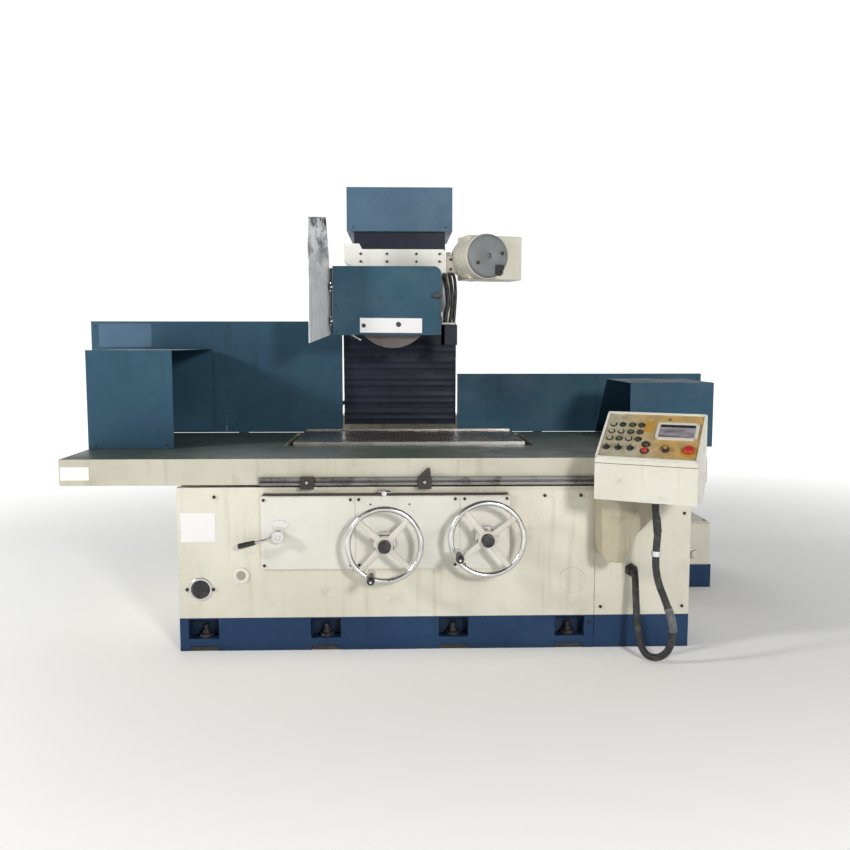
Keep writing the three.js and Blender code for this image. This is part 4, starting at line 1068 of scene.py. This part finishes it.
def make_pendant_box():
    """The box with its lid seam, screws, front plugs and rear cover."""
    refined("pendant_box", M["cream_chipped"], 0.0030)
    seam = bmesh.new()
    add_box(seam, (0.001, -0.0004, 0.7665), (0.359, 0.0006, 0.7683), PENDANT_TURN)
    finish_mesh("pendant_lid_seam", seam, M["screw"], "bed", "black_steel", 0.0)
    outward = PENDANT_TURN.to_3x3() @ Vector((1, 0, 0))
    spots = ((0.020, 0.665), (0.020, 0.770), (0.185, 0.905), (0.185, 0.725))
    for name, x, axis in (("pendant_side_screws", 0.360, outward), ("pendant_left_screws", 0.0, -outward)):
        places = [PENDANT_TURN @ Vector((x, y, z)) for y, z in spots]
        screws(name, places, axis, 0.004, "bed", "pan", M["bright"])
    forward = PENDANT_TURN.to_3x3() @ Vector((0, -1, 0))
    plugs = [PENDANT_TURN @ Vector((x, 0.0, 0.715)) for x in (0.085, 0.140)]
    screws("pendant_front_plugs", plugs, forward, 0.0035, "bed", "pan", M["cream_clean"])
    cover = bmesh.new()
    add_box(cover, (0.030, 0.2045, 0.720), (0.330, 0.2065, 0.905), PENDANT_TURN)
    finish_mesh("pendant_rear_cover", cover, M["cream_clean"], "bed", "cream_paint", 0.0006)


# ---- small pieces on the bed, table, guards and head --------------------------------------------
BED_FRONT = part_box("bed_casting")[0][1]
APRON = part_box("table_tray")[0][1]
REAR_FACE = 0.265


def on_front(x, z):
    """Point on the bed's front face."""
    return Vector((x, BED_FRONT, z))


def front_plate(name, x0, x1, z0, z1, face, material, body="bed", radius=0.002, thickness=0.0008,
                slot="cream_paint"):
    """Thin plate with rounded corners on a face that looks forward."""
    outline = rounded_rectangle(x0, x1, z0, z1, radius)
    return plate_from_outline(name, outline, lambda u, v, d: Vector((u, face - 0.0001 - d, v)), thickness,
                              material, body, slot, 0.0002)


def make_bed_details():
    """Feet, plugs, sight glass, plates and screws on the bed and its side cabinet."""
    for index, x in enumerate((-0.765, -0.292, 0.207, 0.664)):
        foot = bmesh.new()
        add_lathe(foot, mm(0, 18, 30, 18, 30, 28, 12, 30, 12, 64, 0, 64), (x, BED_FRONT + 0.044, 0.0305),
                  (0, 0, 1), 32)
        add_lathe(foot, mm(0, 30, 19, 30, 19, 44, 0, 44), (x, BED_FRONT + 0.044, 0.0305), (0, 0, 1), 6)
        add_box(foot, (x - 0.050, BED_FRONT + 0.002, 0.0005), (x + 0.050, BED_FRONT + 0.058, 0.0165))
        finish_mesh(f"levelling_screw_{index + 1}", foot, M["black"], "bed", "black_steel", 0.0008)
    turned("drain_ring",
           (mm(35.8, -30, 35.8, 1, 37, 3, 44, 3, 46, 1.2, 46, 0), on_front(-0.774, 0.246), FORWARD, 64),
           M["bright"], "bed", "bright_steel", 0.0)
    turned("drain_plug", (mm(0, -12, 35.5, -12, 35.5, -16, 0, -16), on_front(-0.774, 0.246), FORWARD, 48),
           M["black"], "bed", "black_plastic", 0.0)
    turned("oil_sight_ring",
           (mm(0, 1.5, 18, 1.5, 20, 4, 29, 4.5, 31, 3, 31, 0), on_front(-0.616, 0.300), FORWARD, 56),
           M["cream_clean"], "bed", "cream_paint", 0.0)
    turned("oil_sight_glass", (mm(0, 2.4, 17.5, 1.6, 17.5, 0), on_front(-0.616, 0.300), FORWARD, 40),
           M["bone"], "bed", "cream_paint", 0.0)
    turned("round_cover", (mm(0, 3, 47, 3, 51, 2.2, 53, 0), on_front(0.671, 0.272), FORWARD, 64),
           M["cream"], "bed", "cream_paint", 0.0)
    front_plate("blank_number_plate", -0.845, -0.712, 0.433, 0.547, BED_FRONT, M["plate"])
    screws("bed_front_screws", [on_front(x, z) for x, z in (
        (-0.714, 0.608), (-0.825, 0.246), (-0.724, 0.246), (0.700, 0.608), (0.560, 0.608), (0.742, 0.100),
    )], FORWARD, 0.0062, "bed", "socket")
    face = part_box("front_covers")[0][1]
    holes = [(-0.525, 0.596), (-0.192, 0.597), (-0.160, 0.597), (0.212, 0.598), (0.248, 0.598),
             (0.412, 0.599), (-0.525, 0.340), (-0.192, 0.340), (-0.160, 0.340), (0.212, 0.340),
             (0.248, 0.340), (0.412, 0.340)]
    screws("front_cover_screws", [(x, face, z) for x, z in holes], FORWARD, 0.0058, "bed", "socket")
    screws("front_cover_plugs", [(x, face, z) for x, z in ((-0.115, 0.578), (0.035, 0.578))], FORWARD,
           0.0036, "bed", "pan")
    boxes("front_drip_ledge", [((-0.525, BED_FRONT - 0.0195, 0.6165), (0.415, BED_FRONT - 0.0005, 0.6215))],
          M["screw"], "bed", "black_steel", 0.0006)
    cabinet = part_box("side_cabinet")
    right = cabinet[1][0]
    screws("cabinet_front_screws",
           [(x, BED_FRONT, z) for x in (0.785, right - 0.028) for z in (0.165, 0.535)], FORWARD, 0.006,
           "bed", "socket")
    boxes("cabinet_side_cover", [((right, -0.800, 0.190), (right + 0.003, -0.510, 0.520))],
          M["cream_clean"], "bed", "cream_paint", 0.0008)
    screws("cabinet_side_screws", [(right + 0.003, y, z) for y in (-0.785, -0.525) for z in (0.205, 0.505)],
           (1, 0, 0), 0.006, "bed", "socket")
    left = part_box("bed_casting")[0][0]
    boxes("bed_left_cover", [((left - 0.003, -0.700, 0.200), (left, -0.420, 0.480))], M["cream_clean"],
          "bed", "cream_paint", 0.0008)
    screws("bed_left_screws", [(left - 0.003, y, z) for y in (-0.685, -0.435) for z in (0.215, 0.465)],
           (-1, 0, 0), 0.006, "bed", "socket")


def make_table_details():
    """Plates, bolts and screws on the table, its trip dogs, end guards and chuck."""
    front_plate("apron_blank_plate", -1.290, -1.182, 0.676, 0.727, APRON, M["plate"], "table")
    for node, x in (("trip_dog_left", -0.355), ("trip_dog_right", 0.093)):
        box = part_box(node)
        bolt = bmesh.new()
        add_screw(bolt, (x, box[0][1] + 0.0035, 0.668), FORWARD, 0.0055, "socket")
        finish_mesh(node + "_bolt", bolt, M["bright"], BODY_OF[node], "bright_steel", 0.0)
    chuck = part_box("magnetic_chuck")
    pin = bmesh.new()
    for y in (-0.360, -0.040):
        add_lathe(pin, mm(0, 0, 10, 0, 10, 16, 8.5, 18, 0, 18), (chuck[0][0] - 0.0002, y, 0.742),
                  (-1, 0, 0), 24)
    finish_mesh("chuck_switch_pins", pin, M["screw"], "table", "black_steel", 0.0)
    boxes("chuck_back_fence",
          [((chuck[0][0] + 0.004, chuck[1][1] - 0.0005, 0.748),
            (chuck[1][0] - 0.004, chuck[1][1] + 0.006, 0.779))], M["steel"], "table", "bright_steel",
          0.0008)
    screws("chuck_fence_screws", [(x, chuck[1][1] + 0.006, 0.762) for x in (-0.36, -0.10, 0.18, 0.44)],
           (0, 1, 0), 0.005, "table", "socket")
    for node, side in (("end_guard_left", -1), ("end_guard_right", 1)):
        low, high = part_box(node)
        x0, x1 = low[0] + 0.030, high[0] - 0.030
        screws(node + "_screws", [(x, low[1], 0.775) for x in (x0, x1)], FORWARD, 0.005, "table", "pan")
        outer = low[0] if side < 0 else high[0]
        screws(node + "_side_screws", [(outer, y, 0.775) for y in (-0.500, -0.220, 0.060)], (side, 0, 0),
               0.005, "table", "pan")


def make_rear_guard_details():
    front_plate("rear_guard_blank_patch", -1.512, -1.250, 1.178, 1.294, REAR_FACE, M["hood_blue"], "bed",
                0.004, 0.0006, "blue_paint")
    for side, x, top in (("left", -0.882, 1.295), ("right", 1.022, 1.030)):
        seam = ((x - 0.006, REAR_FACE + 0.0016, 0.800), (x + 0.006, REAR_FACE + 0.0030, top))
        boxes("rear_guard_seam_" + side, [seam], M["plinth"], "bed", "blue_paint", 0.0)
    left = [(x, REAR_FACE, z) for x in (-1.530, -0.900, -0.864, -0.312) for z in (0.840, 1.070, 1.280)]
    right = [(x, REAR_FACE, z) for x in (0.312, 1.004, 1.040, 1.530) for z in (0.830, 1.015)]
    screws("rear_guard_screws", left + right, FORWARD, 0.0045, "bed", "pan", M["screw"])


def make_head_details():
    """Bracket, manifold and hoses at the right of the wheel guard, and the bolts of guard and head."""
    boxes("hose_bracket",
          [((0.196, -0.060, 1.187), (0.270, -0.044, 1.281)),
           ((0.196, -0.060, 1.187), (0.212, 0.030, 1.281))], M["navy"], "head", "navy_paint", 0.0015)
    boxes("hose_manifold", [((0.196, -0.062, 1.283), (0.262, -0.030, 1.292))], M["cream"], "head",
          "cream_paint", 0.0015)
    routes = (
        ((0.214, -0.050, 1.292), (0.216, -0.056, 1.330), (0.226, -0.062, 1.380), (0.222, -0.058, 1.440),
         (0.212, -0.030, 1.496), (0.212, 0.016, 1.520)),
        ((0.236, -0.048, 1.292), (0.242, -0.054, 1.335), (0.246, -0.058, 1.390), (0.244, -0.050, 1.450),
         (0.238, -0.020, 1.502), (0.236, 0.040, 1.524)),
        ((0.254, -0.046, 1.292), (0.258, -0.050, 1.350), (0.262, -0.050, 1.420), (0.260, -0.036, 1.480),
         (0.256, 0.000, 1.515), (0.250, 0.044, 1.526)),
    )
    for index, route in enumerate(routes):
        hose = bmesh.new()
        add_tube(hose, smooth_path(route, 10), (0.0105, 0.0085, 0.0075)[index], 16)
        finish_mesh(f"head_hose_{index + 1}", hose, M["rubber"], "head", "black_rubber", 0.0)
    turned("hose_union", (mm(0, 0, 13, 0, 13, 10, 11, 13, 0, 13), (0.203, -0.034, 1.330), FORWARD, 28),
           M["plate"], "head", "bright_steel", 0.0)
    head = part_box("wheelhead")
    front = head[0][1]
    screws("head_front_screws",
           [(x, front, z) for x in (-0.185, -0.060, 0.080, 0.190) for z in (1.582, 1.618)], FORWARD, 0.006,
           "head", "socket")
    screws("head_side_screws", [(0.222, y, z) for y in (0.180, 0.280) for z in (1.340, 1.440, 1.560)],
           (1, 0, 0), 0.008, "head", "hex")
    screws("guard_back_screws", [(x, 0.0205, z) for x in (-0.255, 0.165) for z in (1.270, 1.500)],
           (0, 1, 0), 0.006, "head", "hex")


def make_column_details():
    """Screws, louvres, junction box, conduits and eyebolts of the column."""
    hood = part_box("column_hood")
    for side, name in ((-1, "hood_left_screws"), (1, "hood_right_screws")):
        screws(name, [(side * 0.268, y, 1.785) for y in (0.360, 0.586, 0.812)], (side, 0, 0), 0.005,
               "column", "pan")
    screws("hood_front_screws", [(x, hood[0][1], 1.780) for x in (-0.235, 0.235)], FORWARD, 0.005, "column",
           "pan")
    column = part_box("column_casting")
    back = column[1][1]
    boxes("column_rear_cover", [((-0.218, back, 0.836), (0.218, back + 0.004, 1.616))], M["cream_clean"],
          "column", "cream_paint", 0.0008)
    screws("column_rear_screws",
           [(x, back + 0.004, z) for x in (-0.209, 0.209) for z in (0.846, 1.100, 1.350, 1.606)], (0, 1, 0),
           0.006, "column", "socket")
    louvres = bmesh.new()
    for k in range(7):
        add_box(louvres, (-0.120, back + 0.0035, 1.300 + 0.026 * k),
                (0.120, back + 0.0085, 1.308 + 0.026 * k))
    finish_mesh("column_rear_louvres", louvres, M["cream_clean"], "column", "cream_paint", 0.0018)
    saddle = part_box("column_saddle")
    top = saddle[1][2]
    boxes("junction_box",
          [((-0.382, 0.890, 0.600), (-0.330, 1.060, 0.740)),
           ((-0.388, 0.886, 0.596), (-0.382, 1.064, 0.744))], M["cream_clean"], "column", "cream_paint",
          0.0015)
    screws("junction_box_screws", [(-0.388, y, z) for y in (0.896, 1.054) for z in (0.606, 0.734)],
           (-1, 0, 0), 0.004, "column", "pan", M["bright"])
    glands = bmesh.new()
    conduit = bmesh.new()
    for y in (0.920, 1.020):
        add_lathe(glands, mm(0, 0, 15, 0, 15, 12, 12, 20, 0, 20), (-0.356, y, 0.740), (0, 0, 1), 6)
        add_lathe(glands, mm(0, 0, 16, 0, 16, 12, 0, 12), (-0.290, y, top), (0, 0, 1), 6)
        route = [(-0.356, y, 0.756), (-0.356, y, 0.800), (-0.344, y, 0.836), (-0.323, y, 0.848),
                 (-0.302, y, 0.836), (-0.290, y, 0.806), (-0.290, y, top + 0.008)]
        add_tube(conduit, smooth_path(route, 8), 0.0095, 16)
    finish_mesh("column_conduits", conduit, M["rubber"], "column", "black_rubber", 0.0)
    finish_mesh("column_glands", glands, M["black"], "column", "black_plastic", 0.0006)
    eye = bmesh.new()
    for x, y in ((-0.180, 1.060), (0.180, 1.060)):
        add_lathe(eye, mm(0, 0, 22, 0, 22, 6, 14, 12, 0, 12), (x, y, top), (0, 0, 1), 32)
        add_torus(eye, Vector((x, y, top + 0.034)), Vector((0, 1, 0)), 0.022, 0.0065, 0.0065)
    finish_mesh("saddle_eyebolts", eye, M["screw"], "column", "black_steel", 0.0)
    places = [(side * 0.300, y, top) for side in (-1, 1) for y in (0.740, 0.860, 0.980, 1.070)]
    screws("saddle_screws", places, (0, 0, 1), 0.010, "column", "hex")
    side = [(s * 0.330, y, 0.560) for s in (-1, 1) for y in (0.760, 0.900, 1.050)]
    screws("saddle_left_screws", [p for p in side if p[0] < 0], (-1, 0, 0), 0.008, "column", "hex")
    screws("saddle_right_screws", [p for p in side if p[0] > 0], (1, 0, 0), 0.008, "column", "hex")


def make_tank_details():
    """The tank's filler, gauge, lid screws and pressure pipe, and the pump motor's fins and bolts."""
    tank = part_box("hydraulic_tank")
    top = 0.326
    turned("tank_filler",
           (mm(0, 0, 34, 0, 34, 30, 40, 32, 40, 52, 36, 56, 0, 56), (1.420, 0.440, top), (0, 0, 1), 40),
           M["screw"], "bed", "black_steel", 0.0)
    boxes("tank_level_gauge", [((1.240, tank[0][1] + 0.026, 0.160), (1.262, tank[0][1] + 0.040, 0.262))],
          M["bone"], "bed", "cream_paint", 0.002)
    screws("tank_lid_screws", [(x, y, top) for x in (1.172, 1.496) for y in (0.010, 0.270, 0.530)],
           (0, 0, 1), 0.006, "bed", "hex")
    turned("tank_knob_washer", (mm(17.2, 0, 22, 0, 22, 3, 17.2, 4), (1.436, -0.020, 0.171), FORWARD, 36),
           M["bright"], "bed", "bright_steel", 0.0)
    pipe = bmesh.new()
    route = [(1.190, 0.160, 0.330), (1.190, 0.160, 0.372), (1.180, 0.150, 0.404), (1.140, 0.120, 0.420),
             (1.000, 0.020, 0.424), (0.860, -0.060, 0.424), (0.762, -0.100, 0.424)]
    add_tube(pipe, smooth_path(route, 12), 0.011, 18)
    finish_mesh("pressure_pipe", pipe, M["rubber"], "bed", "black_rubber", 0.0)
    union = bmesh.new()
    add_lathe(union, mm(0, 0, 18, 0, 18, 18, 13, 20, 0, 20), (0.7602, -0.1008, 0.424), (1, 0, 0), 6)
    add_lathe(union, mm(0, 0, 19, 0, 19, 16, 13, 18, 0, 18), (1.190, 0.160, top), (0, 0, 1), 6)
    finish_mesh("pressure_pipe_unions", union, M["bright"], "bed", "bright_steel", 0.0006)
    motor = bmesh.new()
    for k in range(9):
        add_lathe(motor, mm(76, 0, 79.5, 0.8, 79.5, 2.2, 76, 3), (1.260, 0.260, 0.380 + 0.012 * k),
                  (0, 0, 1), 48)
    finish_mesh("pump_motor_fins", motor, M["iron"], "bed", "cast_iron", 0.0)
    bolts = [(1.260 + 0.080 * math.cos(a), 0.260 + 0.080 * math.sin(a), top + 0.0143)
             for a in (math.radians(45 + 90 * k) for k in range(4))]
    screws("pump_motor_bolts", bolts, (0, 0, 1), 0.007, "bed", "hex")


make_camera()
make_studio()
make_conduit()
refine_frame_nodes()
make_handwheel("cross", (-0.060, 0.439), 47, 246)
make_handwheel("elevating", (0.328, 0.460), 38, 206)
make_revolving_handle("cross", (-0.060, 0.439), 246)
make_revolving_handle("elevating", (0.328, 0.460), 206)
make_table_lever()
make_motor()
make_guard_cover()
for number in ("fixed", 1, 2, 3, 4, 5):
    make_way_cover(f"way_cover_{number}")
make_grinding_wheel()
make_pendant_box()
make_panel()
make_controls()
make_bed_details()
make_table_details()
make_rear_guard_details()
make_head_details()
make_column_details()
make_tank_details()
